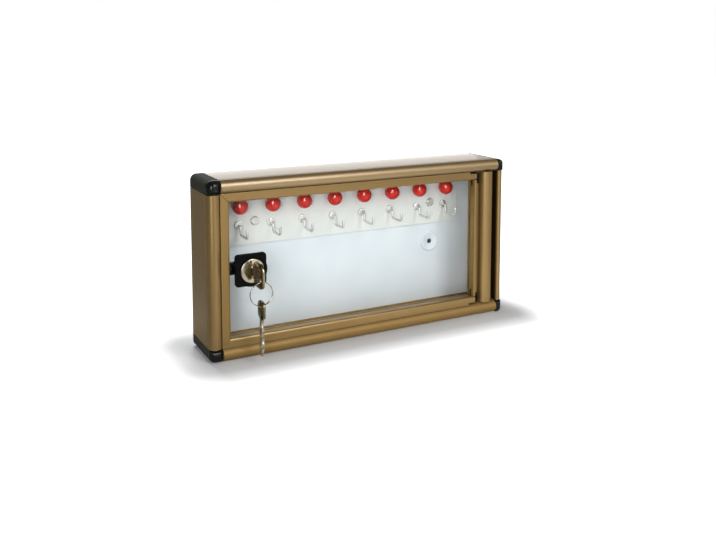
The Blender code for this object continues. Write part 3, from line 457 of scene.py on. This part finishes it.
def eased_copy(node, material):
    """A welded copy of a CAD node, with flat faces joined and its edges eased."""
    mesh = frame['nodes'][node].data.copy()
    shape = bmesh.new()
    shape.from_mesh(mesh)
    bmesh.ops.remove_doubles(shape, verts=shape.verts, dist=weld_gap)
    bmesh.ops.dissolve_limit(shape, angle_limit=math.radians(flat), verts=shape.verts,
                             edges=shape.edges)
    shape.to_mesh(mesh)
    shape.free()
    smooth_by_angle(mesh)
    piece = finished_piece('eased_' + node, mesh, material, frame['nodes'][node]['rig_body'],
                           [node])
    bevel = piece.modifiers.new('edges', 'BEVEL')
    bevel.width = edge_round
    bevel.segments = 2
    bevel.limit_method = 'ANGLE'
    bevel.angle_limit = math.radians(crease)
    bevel.use_clamp_overlap = True
    bevel.harden_normals = True
    return piece


def arc(centre, radius, start, end, steps):
    """Points on an arc, in degrees, from start to end."""
    points = []
    for step in range(steps + 1):
        angle = math.radians(start + (end - start) * step / steps)
        points.append((centre[0] + radius * math.cos(angle), centre[1] + radius * math.sin(angle)))
    return points


def turned_mesh(name, profile, seat_y, steps):
    """Turn a profile of radius and forward rise about a line that runs front to back."""
    shape = bmesh.new()
    rings = []
    for radius, rise in profile:
        ring = []
        if radius == 0:
            ring.append(shape.verts.new((0, seat_y - rise, 0)))
        else:
            for step in range(steps):
                angle = 2 * math.pi * step / steps
                ring.append(shape.verts.new((radius * math.cos(angle), seat_y - rise,
                                             radius * math.sin(angle))))
        rings.append(ring)
    for first, second in zip(rings, rings[1:]):
        for step in range(steps):
            after = (step + 1) % steps
            corners = [first[step % len(first)], first[after % len(first)],
                       second[after % len(second)], second[step % len(second)]]
            corners = list(dict.fromkeys(corners))
            if len(corners) > 2:
                shape.faces.new(corners)
    bmesh.ops.recalc_face_normals(shape, faces=shape.faces)
    mesh = bpy.data.meshes.new(name)
    shape.to_mesh(mesh)
    shape.free()
    smooth_by_angle(mesh)
    return mesh


def path_curve(name, points):
    """A curve through a list of points."""
    curve = bpy.data.curves.new(name, 'CURVE')
    curve.dimensions = '3D'
    spline = curve.splines.new('POLY')
    spline.points.add(len(points) - 1)
    for point, place in zip(spline.points, points):
        point.co = (*place, 1)
    return curve


def middle_of(node):
    """The centre of a CAD node's box."""
    low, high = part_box(node)
    return [(first + second) / 2 for first, second in zip(low, high)]


# Geometry trees

def new_tree(name, sockets):
    """An empty geometry tree with named inputs and one geometry output."""
    tree = bpy.data.node_groups.new(name, 'GeometryNodeTree')
    for label, kind in sockets:
        tree.interface.new_socket(label, in_out='INPUT', socket_type=kind)
    tree.interface.new_socket('Geometry', in_out='OUTPUT', socket_type='NodeSocketGeometry')
    return tree, add_node(tree, 'NodeGroupInput').outputs


def end_tree(tree, given, geometry):
    """End a tree with real geometry in the given finish."""
    real = add_node(tree, 'GeometryNodeRealizeInstances', {'Geometry': geometry})
    coat = add_node(tree, 'GeometryNodeSetMaterial', {
        'Geometry': real.outputs['Geometry'], 'Material': given['Finish']})
    add_node(tree, 'NodeGroupOutput', {'Geometry': coat.outputs['Geometry']})
    return tree


def row_tree():
    """Repeats one piece along a line, each copy turned a touch about its own middle."""
    tree, given = new_tree('row_of_pieces', (
        ('Piece', 'NodeSocketObject'), ('Count', 'NodeSocketInt'),
        ('Start', 'NodeSocketVector'), ('Step', 'NodeSocketVector'),
        ('Turn', 'NodeSocketFloat'), ('Seed', 'NodeSocketInt'),
        ('Finish', 'NodeSocketMaterial')))
    line = add_node(tree, 'GeometryNodeMeshLine', {
        'Count': given['Count'], 'Start Location': given['Start'], 'Offset': given['Step']},
        mode='OFFSET')
    source = add_node(tree, 'GeometryNodeObjectInfo', {'Object': given['Piece']})
    back = combine(tree, 'MULTIPLY', given['Turn'], -1)
    chance = add_node(tree, 'FunctionNodeRandomValue', {
        2: back, 3: given['Turn'], 'Seed': given['Seed']})
    lean = add_node(tree, 'ShaderNodeCombineXYZ', {'Y': chance.outputs[1]})
    copies = add_node(tree, 'GeometryNodeInstanceOnPoints', {
        'Points': line.outputs['Mesh'], 'Instance': source.outputs['Geometry'],
        'Rotation': lean.outputs['Vector']})
    return end_tree(tree, given, copies.outputs['Instances'])


def wire_tree():
    """Sweeps a round wire along a path and joins a second piece to it."""
    tree, given = new_tree('bent_wire', (
        ('Path', 'NodeSocketObject'), ('Radius', 'NodeSocketFloat'), ('Sides', 'NodeSocketInt'),
        ('Foot', 'NodeSocketObject'), ('Finish', 'NodeSocketMaterial')))
    path = add_node(tree, 'GeometryNodeObjectInfo', {'Object': given['Path']})
    section = add_node(tree, 'GeometryNodeCurvePrimitiveCircle', {
        'Radius': given['Radius'], 'Resolution': given['Sides']})
    wire = add_node(tree, 'GeometryNodeCurveToMesh', {
        'Curve': path.outputs['Geometry'], 'Profile Curve': section.outputs['Curve'],
        'Fill Caps': True})
    foot = add_node(tree, 'GeometryNodeObjectInfo', {'Object': given['Foot']})
    both = add_node(tree, 'GeometryNodeJoinGeometry', {'Geometry': foot.outputs['Geometry']})
    tree.links.new(wire.outputs['Mesh'], both.inputs['Geometry'])
    return end_tree(tree, given, both.outputs['Geometry'])


def grown_mesh(name, tree, values):
    """Run a geometry tree with its named inputs and return the plain mesh it makes."""
    host = helper(name, bpy.data.meshes.new(name))
    modifier = host.modifiers.new('grow', 'NODES')
    modifier.node_group = tree
    for item in tree.interface.items_tree:
        if item.item_type == 'SOCKET' and item.in_out == 'INPUT':
            modifier[item.identifier] = values[item.name]
    return plain_mesh(host)


# Pegs, hooks and wall rings, grown in rows

row = row_tree()
wire = wire_tree()
peg_nodes = [f'peg_{count}' for count in range(1, 9)]
hook_nodes = [f'hook_{count}' for count in range(1, 9)]
ring_nodes = ['wall_ring_left', 'wall_ring_right']
strip_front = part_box('hook_strip')[0][1]
first_x = middle_of('hook_1')[0]
pitch = middle_of('hook_2')[0] - first_x


def make_pegs():
    """Red ball pegs with a collar at the foot and a flat moulding mark at the front."""
    collar_radius = 0.0046
    collar_rise = 0.0004
    stem_radius = 0.0018
    top_angle = 86
    bottom_angle = -46
    ball_steps = 33
    low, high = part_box('peg_1')
    radius = (high[0] - low[0]) / 2
    foot = strip_front - fit
    reach = foot - (low[1] + radius)
    stem_end = foot - high[1]
    profile = [(0, reach + radius)]
    profile += arc((0, reach), radius, top_angle, bottom_angle, ball_steps)
    profile += [(collar_radius, collar_rise), (collar_radius, 0)]
    profile += [(stem_radius, 0), (stem_radius, stem_end), (0, stem_end)]
    ball = helper('peg', turned_mesh('peg', profile, foot, steps=40))
    mesh = grown_mesh('pegs', row, {
        'Piece': ball, 'Count': len(peg_nodes), 'Start': (first_x, 0, middle_of('peg_1')[2]),
        'Step': (pitch, 0, 0), 'Turn': 0.5, 'Seed': 3, 'Finish': peg_red})
    bpy.data.objects.remove(ball)
    return finished_piece('pegs', mesh, peg_red, 'case', peg_nodes)


def make_hooks():
    """Bent wire hooks, out, down, out again and up, with a rounded tip and a flanged foot."""
    wire_radius = 0.00105
    flange_radius = 0.0038
    flange_edge = ((0.0008, 0.0012), (0.0003, 0.0010), (0, 0.0005), (0, 0))  # inset and rise
    drop_reach = 0.0060
    tip_rise = 0.0062
    top_bend = 0.0020
    low_bend = 0.0025
    tip_bend = 0.0030
    bend_steps = 8
    low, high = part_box('hook_1')
    root_z = high[2] - flange_radius
    low_z = low[2] + wire_radius - root_z
    tip_y = low[1] + wire_radius
    drop_y = strip_front - drop_reach
    path = [(high[1], 0)]
    path += arc((drop_y + top_bend, -top_bend), top_bend, 90, 180, bend_steps)
    path += arc((drop_y - low_bend, low_z + low_bend), low_bend, 0, -90, bend_steps)
    path += arc((tip_y + tip_bend, low_z + tip_bend), tip_bend, 270, 180, bend_steps)
    path += [(tip_y, low_z + tip_rise)]
    curve = helper('hook_path', path_curve('hook_path', [(0, y, z) for y, z in path]))
    profile = [(0, flange_edge[0][1])]
    profile += [(flange_radius - inset, rise) for inset, rise in flange_edge] + [(0, 0)]
    foot_mesh = turned_mesh('hook_foot', profile, strip_front - fit, steps=28)
    dome = bmesh.new()
    dome.from_mesh(foot_mesh)
    tip = bmesh.ops.create_uvsphere(dome, u_segments=14, v_segments=10, radius=wire_radius)
    bmesh.ops.translate(dome, vec=(0, tip_y, low_z + tip_rise), verts=tip['verts'])
    dome.to_mesh(foot_mesh)
    dome.free()
    smooth_by_angle(foot_mesh)
    foot = helper('hook_foot', foot_mesh)
    one = grown_mesh('hook', wire, {'Path': curve, 'Radius': wire_radius, 'Sides': 14,
                                    'Foot': foot, 'Finish': zinc})
    smooth_by_angle(one)
    hook = helper('hook', one)
    mesh = grown_mesh('hooks', row, {
        'Piece': hook, 'Count': len(hook_nodes), 'Start': (first_x, 0, root_z),
        'Step': (pitch, 0, 0), 'Turn': 0.02, 'Seed': 5, 'Finish': zinc})
    for used in (curve, foot, hook):
        bpy.data.objects.remove(used)
    finished_piece('hooks', mesh, zinc, 'case', hook_nodes)


def make_wall_rings():
    """Dished rings round the wall screw holes, with a rolled rim."""
    bore = 0.0026
    bore_edge = 0.0005
    bore_round = 0.0003
    dish = 0.0007
    dish_inset = 0.0034
    roll = ((0.0028, 0.0009), (0.0022, 0.0013), (0.0014, 0.0014), (0.0006, 0.0012),
            (0.0001, 0.0006), (0, 0.0003), (0, 0))  # inset and rise
    low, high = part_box('wall_ring_left')
    left_x, _, ring_z = middle_of('wall_ring_left')
    right_x = middle_of('wall_ring_right')[0]
    rim = (high[0] - low[0]) / 2
    profile = [(bore, 0), (bore, bore_edge), (bore + bore_round, dish), (rim - dish_inset, dish)]
    profile += [(rim - inset, rise) for inset, rise in roll] + [(bore, 0)]
    ring = helper('wall_ring', turned_mesh('wall_ring', profile, high[1], steps=48))
    mesh = grown_mesh('wall_rings', row, {
        'Piece': ring, 'Count': len(ring_nodes), 'Start': (left_x, 0, ring_z),
        'Step': (right_x - left_x, 0, 0), 'Turn': 0.0, 'Seed': 1, 'Finish': panel_white})
    bpy.data.objects.remove(ring)
    weld(mesh, weld_gap)
    finished_piece('wall_rings', mesh, panel_white, 'case', ring_nodes)


# Keys and their ring

key_plate = 0.0020          # thickness of both keys
plate_edge = 0.00025        # roll of their edges
bow_corner_share = 0.68     # of half the bow
tip_share = 0.55            # of half the blade
neck = 0.0006               # from the bow to the blade's first point
overrun = 0.001             # of a groove's cutter past the tip
groove_middle = 0.0011      # of a groove's cutter, from the plate's middle
sunk_plate = 0.0010         # thickness of the cutter that sinks a bow's face
sunk_edge = 0.0001          # roll of its edges
sunk_middle = 0.0012        # its middle, from the plate's middle
key_crease = 40             # degrees from which an edge of a key stays crisp
bow_steps = 10              # of each rounded corner of a bow
hole_steps = 24


def stamped_plate(name, loops, thickness, edge):
    """A flat plate from outlines in Y and Z, about X zero, with its edges rolled."""
    curve = bpy.data.curves.new(name, 'CURVE')
    curve.dimensions = '2D'
    curve.fill_mode = 'BOTH'
    curve.extrude = thickness / 2 - edge
    curve.bevel_depth = edge
    curve.bevel_resolution = 1
    curve.offset = -edge
    for loop in loops:
        spline = curve.splines.new('POLY')
        spline.points.add(len(loop) - 1)
        for point, place in zip(spline.points, loop):
            point.co = (*place, 0, 1)
        spline.use_cyclic_u = True
    mesh = plain_mesh(helper(name, curve))
    upright = Matrix(((0, 0, 1, 0), (1, 0, 0, 0), (0, 1, 0, 0), (0, 0, 0, 1)))
    mesh.transform(upright)
    weld(mesh, fine_weld_gap)
    return mesh


def cut_away(mesh, cutter_mesh):
    """Cut one mesh out of another and return the result as a plain mesh."""
    piece = helper('piece', mesh)
    tool = helper('tool', cutter_mesh)
    boolean = piece.modifiers.new('cut', 'BOOLEAN')
    boolean.operation = 'DIFFERENCE'
    boolean.solver = 'EXACT'
    boolean.object = tool
    result = plain_mesh(piece)
    bpy.data.objects.remove(tool)
    return result


def grooved(mesh, side, reach, low, high):
    """Mill a groove into one face of a plate, between two corners in Y and Z."""
    low = (side * groove_middle - reach, *low)
    high = (side * groove_middle + reach, *high)
    shape = bmesh.new()
    bmesh.ops.create_cube(shape, size=1)
    bmesh.ops.scale(shape, vec=[second - first for first, second in zip(low, high)],
                    verts=shape.verts)
    bmesh.ops.translate(shape, vec=[(first + second) / 2 for first, second in zip(low, high)],
                        verts=shape.verts)
    cutter = bpy.data.meshes.new('groove')
    shape.to_mesh(cutter)
    shape.free()
    return cut_away(mesh, cutter)


def circle(centre, radius, steps):
    """A closed circle of points."""
    return arc(centre, radius, 0, 360, steps)[:-1]


def notched_edge(start, end, rise, depths):
    """Points of a cut blade edge, with a flat, a slope and a valley for each cut."""
    flat_share = 0.25
    slope_share = 0.45
    valley_share = 0.75
    points = []
    step = (end - start) / len(depths)
    for index, depth in enumerate(depths):
        high = start + index * step
        points.append((high, rise))
        points.append((high + step * flat_share, rise))
        points.append((high + step * slope_share, rise - depth))
        points.append((high + step * valley_share, rise - depth))
    return points


def sunk_outline(bow_front, bow_back, axis_z, hole):
    """The sunk area of a bow's face, with round corners and a rim left round the hole."""
    from_front = 0.0062
    from_back = 0.0058
    half = 0.0042
    corner = 0.0030
    corner_steps = 6
    hole_rim = 0.0046
    rim_start = 140
    rim_end = -20
    rim_steps = 10
    front = bow_front + from_front
    back = bow_back - from_back
    points = arc((back, axis_z + half), corner, 0, 90, corner_steps)
    points += arc((front, axis_z + half), corner, 90, 180, corner_steps)
    points += arc(hole, hole_rim, rim_start, rim_end, rim_steps)
    points += arc((back, axis_z - half), corner, 270, 360, corner_steps)
    return points


def make_key():
    """The key in the lock: a round-cornered bow with sunk faces and a grooved, cut blade."""
    bow_length = 0.0225
    half = 0.0035
    cuts_start = 0.0036
    cut_depths = (0.0010, 0.0016, 0.0006, 0.0013, 0.0008)
    hole_from_end = 0.0060
    hole_drop = 0.0036
    hole_radius = 0.0026
    groove_reach = 0.0004
    groove_gap = 0.0012
    groove_bottom = 0.0016
    groove_top = 0.0004
    low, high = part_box('key')
    axis_z = middle_of('lock_plug')[2]
    bow_half = (high[2] - low[2]) / 2
    bow_front = low[1]
    bow_back = bow_front + bow_length
    corner = bow_half * bow_corner_share
    tip = half * tip_share
    outline = arc((bow_front + corner, axis_z - bow_half + corner), corner, 180, 270, bow_steps)
    outline += arc((bow_back - corner, axis_z - bow_half + corner), corner, 270, 360, bow_steps)
    outline += [(bow_back + neck, axis_z - half), (high[1] - tip, axis_z - half)]
    outline += [(high[1], axis_z - half + tip), (high[1], axis_z + half - tip)]
    cuts = notched_edge(high[1] - tip, bow_back + cuts_start, half, cut_depths)
    outline += [(y, axis_z + rise) for y, rise in cuts]
    outline += [(bow_back + neck, axis_z + half)]
    outline += arc((bow_back - corner, axis_z + bow_half - corner), corner, 0, 90, bow_steps)
    outline += arc((bow_front + corner, axis_z + bow_half - corner), corner, 90, 180, bow_steps)
    hole = (bow_front + hole_from_end, axis_z - hole_drop)
    mesh = stamped_plate('key', [outline, circle(hole, hole_radius, hole_steps)],
                         key_plate, plate_edge)
    sunk = sunk_outline(bow_front, bow_back, axis_z, hole)
    for side in (-1, 1):
        tool = stamped_plate('sunk', [sunk], sunk_plate, sunk_edge)
        tool.transform(Matrix.Translation((side * sunk_middle, 0, 0)))
        mesh = cut_away(mesh, tool)
        mesh = grooved(mesh, side, groove_reach, (bow_back + groove_gap, axis_z - groove_bottom),
                       (high[1] + overrun, axis_z - groove_top))
    mesh.transform(Matrix.Translation((middle_of('key')[0], 0, 0)))
    smooth_by_angle(mesh, key_crease)
    finished_piece('cut_key', mesh, key_metal, 'key', ['key'])


def make_spare_key():
    """The spare key, hanging blade down from the ring."""
    bow_length = 0.0150
    half = 0.0031
    cuts_start = 0.0040
    cut_depths = (0.0014, 0.0020, 0.0008, 0.0018, 0.0012, 0.0020)
    hole_drop = 0.0050
    hole_radius = 0.0024
    groove_gap = 0.0008
    grooves = ((0.0004, -0.0014, -0.0003), (0.0003, 0.0006, 0.0013))  # reach and both edges
    low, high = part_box('spare_key')
    x, middle, _ = middle_of('spare_key')
    bow_half = (high[1] - low[1]) / 2
    bow_low = high[2] - bow_length
    corner = bow_half * bow_corner_share
    tip = half * tip_share
    outline = arc((middle + bow_half - corner, high[2] - corner), corner, 0, 90, bow_steps)
    outline += arc((middle - bow_half + corner, high[2] - corner), corner, 90, 180, bow_steps)
    outline += arc((middle - bow_half + corner, bow_low + corner), corner, 180, 270, bow_steps)
    outline += [(middle - half, bow_low - neck), (middle - half, low[2] + tip)]
    outline += [(middle - half + tip, low[2]), (middle + half - tip, low[2])]
    cuts = notched_edge(low[2] + tip, bow_low - cuts_start, half, cut_depths)
    outline += [(middle + rise, z) for z, rise in cuts]
    outline += [(middle + half, bow_low - neck)]
    outline += arc((middle + bow_half - corner, bow_low + corner), corner, 270, 360, bow_steps)
    outline = [(2 * middle - y, z) for y, z in outline]
    hole = circle((middle, high[2] - hole_drop), hole_radius, hole_steps)
    mesh = stamped_plate('spare', [outline, hole], key_plate, plate_edge)
    for side in (-1, 1):
        for reach, front, back in grooves:
            mesh = grooved(mesh, side, reach, (middle + front, low[2] - overrun),
                           (middle + back, bow_low - groove_gap))
    mesh.transform(Matrix.Translation((x, 0, 0)))
    smooth_by_angle(mesh, key_crease)
    finish = two_tone_key('spare_key_metal', bow=(0.26, 0.22, 0.14), blade=(0.74, 0.72, 0.66),
                          level=bow_low)
    finished_piece('cut_spare_key', mesh, finish, 'spare', ['spare_key'])


def make_key_ring():
    """A split ring: two turns of wire side by side, with a crank between them."""
    turn_gap = 0.00001
    outward = 0.0004
    turns = 1.93
    start_angle = 25
    crank_start = 0.90
    crank_length = 0.13
    steps = 176
    low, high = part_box('key_ring')
    x, y, z = middle_of('key_ring')
    wire_radius = (high[1] - low[1]) / 4 - turn_gap
    radius = (high[0] - low[0]) / 2 - 2 * wire_radius + outward
    points = []
    for step in range(steps + 1):
        turn = turns * step / steps
        angle = 2 * math.pi * turn + math.radians(start_angle)
        crank = min(1, max(0, (turn - crank_start) / crank_length))
        side = (crank * crank * (3 - 2 * crank)) * 2 - 1
        points.append((x + radius * math.cos(angle), y + side * wire_radius,
                       z + radius * math.sin(angle)))
    path = helper('ring_path', path_curve('ring_path', points))
    nothing = helper('nothing', bpy.data.meshes.new('nothing'))
    mesh = grown_mesh('split_ring', wire, {'Path': path, 'Radius': wire_radius, 'Sides': 12,
                                           'Foot': nothing, 'Finish': nickel})
    bpy.data.objects.remove(path)
    bpy.data.objects.remove(nothing)
    smooth_by_angle(mesh)
    finished_piece('split_ring', mesh, nickel, 'ring', ['key_ring'])


pegs = make_pegs()
make_hooks()
make_wall_rings()
make_key()
make_spare_key()
make_key_ring()


# Every other node: its finish, and for what shows an eased copy

finishes = (
    (('door_left_stile', 'door_right_stile'), gold_door_stile, 'gold_anodised'),
    (('door_top_rail', 'door_bottom_rail'), gold_door_rail, 'gold_anodised'),
    ('case_left_stile', gold_left, 'gold_anodised'),
    ('case_right_stile', gold_right, 'gold_anodised'),
    ('case_top_rail', gold_top, 'gold_anodised'),
    ('case_bottom_rail', gold_low, 'gold_anodised'),
    ('corner_', corner_black, 'black_plastic'),
    ('wall_grommet', rubber_grey, 'black_plastic'),
    (('hinge_', 'lock_plate', 'bolt_guide'), black_matt, 'black_plastic'),
    ('bolt', black_gloss, 'black_plastic'),
    ('back_panel', panel_white, 'white_panel'),
    ('hook_strip', strip_white, 'white_panel'),
    ('strip_screw', zinc, 'nickel'),
    ('lock_plug', lock_brass, 'nickel'),
    ('lock_', lock_chrome, 'nickel'),
    ('pane', pane_clear, 'clear_sheet'),
    ('', steel, 'steel'))


def finish_of(node):
    """The finish and the slot of a CAD node, from the first row that its name starts with."""
    for start, material, slot in finishes:
        if node.startswith(start):
            return material, slot


made_already = ['key', 'spare_key', 'key_ring', *ring_nodes, *peg_nodes, *hook_nodes]
kept_plain = ['pane', 'door_key_top', 'door_key_bottom']
eased = {}

for node in sorted(frame['nodes']):
    if node in made_already:
        continue
    material, slot = finish_of(node)
    if node in kept_plain:
        piece = frame['nodes'][node]
        piece.data.materials.clear()
        piece.data.materials.append(material)
    else:
        eased[node] = eased_copy(node, material)


# Floor, light and background

def even_tone(tree, value):
    """A grey of a given brightness."""
    return add_node(tree, 'ShaderNodeCombineColor', {
        'Red': value, 'Green': value, 'Blue': value}).outputs['Color']


def distance_from_case(tree):
    """How far a point lies from the box that the case fills."""
    centring = (0.0, 0.025, 0.0)
    half_sizes = (0.150, 0.026, 0.077)
    centred = combine_vectors(tree, 'ADD', place_on_piece(tree), centring)
    folded = combine_vectors(tree, 'ABSOLUTE', centred)
    beyond = combine_vectors(tree, 'SUBTRACT', folded, half_sizes)
    beyond = combine_vectors(tree, 'MAXIMUM', beyond, (0.0, 0.0, 0.0))
    return combine_vectors(tree, 'LENGTH', beyond, output='Value')


def floor_paper():
    """Pale studio paper that keeps the object's cast shadow and fades to white, with a painted
    contact shadow near the case, a painted glow that whitens it away from the case and a painted
    reflection for glossy rays.
    """
    material = bpy.data.materials.new('floor_paper')
    material.use_nodes = True
    tree = material.node_tree
    tree.nodes.clear()
    path = add_node(tree, 'ShaderNodeLightPath').outputs
    x = axes_of(tree, place_on_piece(tree))['X']
    away = distance_from_case(tree)
    clear = combine(tree, 'MAXIMUM', path['Is Camera Ray'], path['Is Transmission Ray'])
    # Painted glow: camera and transmission rays see the paper glow, weakly near the case and
    # strongly away from it, so it turns white beyond the shadow.
    painted_white_glow = combine(tree, 'MULTIPLY', spread(tree, away, 0.04, 0.80, start=0.018, end=0.07), clear)
    # Painted reflection: glossy rays see a warm glow instead of the paper, dimmer on the left, on
    # the right and near the case.
    flank = spread(tree, x, 1.2, 0.18, start=0.04, end=-0.22)
    right = spread(tree, x, 1.0, 0.3, start=0.08, end=0.36)
    foot = spread(tree, away, 0.4, 1.0, start=0.0, end=0.07)
    painted_reflection_glow = combine(tree, 'MULTIPLY', combine(tree, 'MULTIPLY', flank, right), foot)
    # Painted contact shadow: the paper's own colour is darker near the case.
    shade = spread(tree, away, 0.52, 0.88, start=0.0, end=0.055)
    paper = add_node(tree, 'ShaderNodeBsdfDiffuse', {'Color': even_tone(tree, shade)})
    glow = add_node(tree, 'ShaderNodeEmission', {'Color': (1, 1, 1, 1), 'Strength': painted_white_glow})
    lit = add_node(tree, 'ShaderNodeAddShader', {
        0: paper.outputs['BSDF'], 1: glow.outputs['Emission']})
    mirrored = add_node(tree, 'ShaderNodeEmission', {
        'Color': (1.0, 0.94, 0.82, 1), 'Strength': painted_reflection_glow})
    seen = add_node(tree, 'ShaderNodeMixShader', {
        'Fac': path['Is Glossy Ray'], 1: lit.outputs['Shader'],
        2: mirrored.outputs['Emission']})
    add_node(tree, 'ShaderNodeOutputMaterial', {'Surface': seen.outputs['Shader']})
    return material


def studio_world():
    """A soft fill, a white background, and for reflections a darker ceiling and left side."""
    world = bpy.data.worlds.new('studio')
    world.use_nodes = True
    tree = world.node_tree
    tree.nodes.clear()
    path = add_node(tree, 'ShaderNodeLightPath').outputs
    axes = axes_of(tree, add_node(tree, 'ShaderNodeTexCoord').outputs['Generated'])
    clear = combine(tree, 'MAXIMUM', path['Is Camera Ray'], path['Is Transmission Ray'])
    seen = combine(tree, 'MAXIMUM', clear, path['Is Glossy Ray'])
    ceiling = spread(tree, axes['Z'], 1.0, 0.04, start=0.34, end=0.56)
    flank = spread(tree, axes['X'], 1.0, 0.05, start=0.0, end=-0.30)
    plain = combine(tree, 'MAXIMUM', combine(tree, 'MULTIPLY', ceiling, flank), clear)
    fill = add_node(tree, 'ShaderNodeBackground', {
        'Color': (0.95, 0.97, 1.0, 1), 'Strength': 0.35})
    white = add_node(tree, 'ShaderNodeBackground', {
        'Color': even_tone(tree, plain), 'Strength': 1.0})
    both = add_node(tree, 'ShaderNodeMixShader', {
        'Fac': seen, 1: fill.outputs['Background'], 2: white.outputs['Background']})
    add_node(tree, 'ShaderNodeOutputWorld', {'Surface': both.outputs['Shader']})
    return world


def add_lamp(name, place, aim, width, height, power):
    """A soft box at a place, aimed at a point."""
    light = bpy.data.lights.new(name, 'AREA')
    light.shape = 'RECTANGLE'
    light.size = width
    light.size_y = height
    light.energy = power
    lamp = bpy.data.objects.new(name, light)
    lamp.location = place
    direction = Vector(aim) - Vector(place)
    lamp.rotation_euler = direction.to_track_quat('-Z', 'Y').to_euler()
    scene.collection.objects.link(lamp)
    return lamp


def light_only(lamp, piece):
    """Keep a lamp's light to one piece: it lights nothing else and nothing else shades it."""
    group = bpy.data.collections.new(lamp.name + '_reach')
    group.objects.link(piece)
    lamp.light_linking.receiver_collection = group
    lamp.light_linking.blocker_collection = group


floor_reach = 6.0
floor_level = cad_box[0][2]
floor_corners = [(x * floor_reach, y * floor_reach, floor_level)
                 for x, y in ((-1, -1), (1, -1), (1, 1), (-1, 1))]
floor_mesh = bpy.data.meshes.new('floor')
floor_mesh.from_pydata(floor_corners, [], [(0, 1, 2, 3)])
floor = bpy.data.objects.new('floor', floor_mesh)
floor_mesh.materials.append(floor_paper())
scene.collection.objects.link(floor)

scene.world = studio_world()

add_lamp('key_light', place=(0.31, -1.26, 0.92), aim=(0, 0, 0), width=0.6, height=0.9, power=11.0)
add_lamp('fill_light', place=(-0.95, -1.28, 0.36), aim=(0, 0, 0), width=0.5, height=1.0, power=13.0)
shadow_light = add_lamp('shadow_light', place=(-0.08, 0.38, 1.3), aim=(0, 0, 0),
                        width=0.28, height=0.28, power=12.0)
shadow_light.visible_glossy = False
back_glint = add_lamp('back_glint', place=(0.45, 1.5, 0.35), aim=(0, 0, 0.07),
                      width=2.0, height=0.6, power=0.1)
back_glint.visible_diffuse = False
peg_glint = add_lamp('peg_glint', place=(-0.50, -0.92, 0.56), aim=(0, 0, 0.12),
                     width=0.10, height=0.6, power=28.0)
peg_glint.visible_diffuse = False
light_only(peg_glint, pegs)
edge_glint = add_lamp('edge_glint', place=(0, 0.020, 0.0818), aim=(0, -0.05, 0.079),
                      width=0.34, height=0.0075, power=0.013)
edge_glint.visible_camera = False
light_only(edge_glint, eased['case_top_rail'])
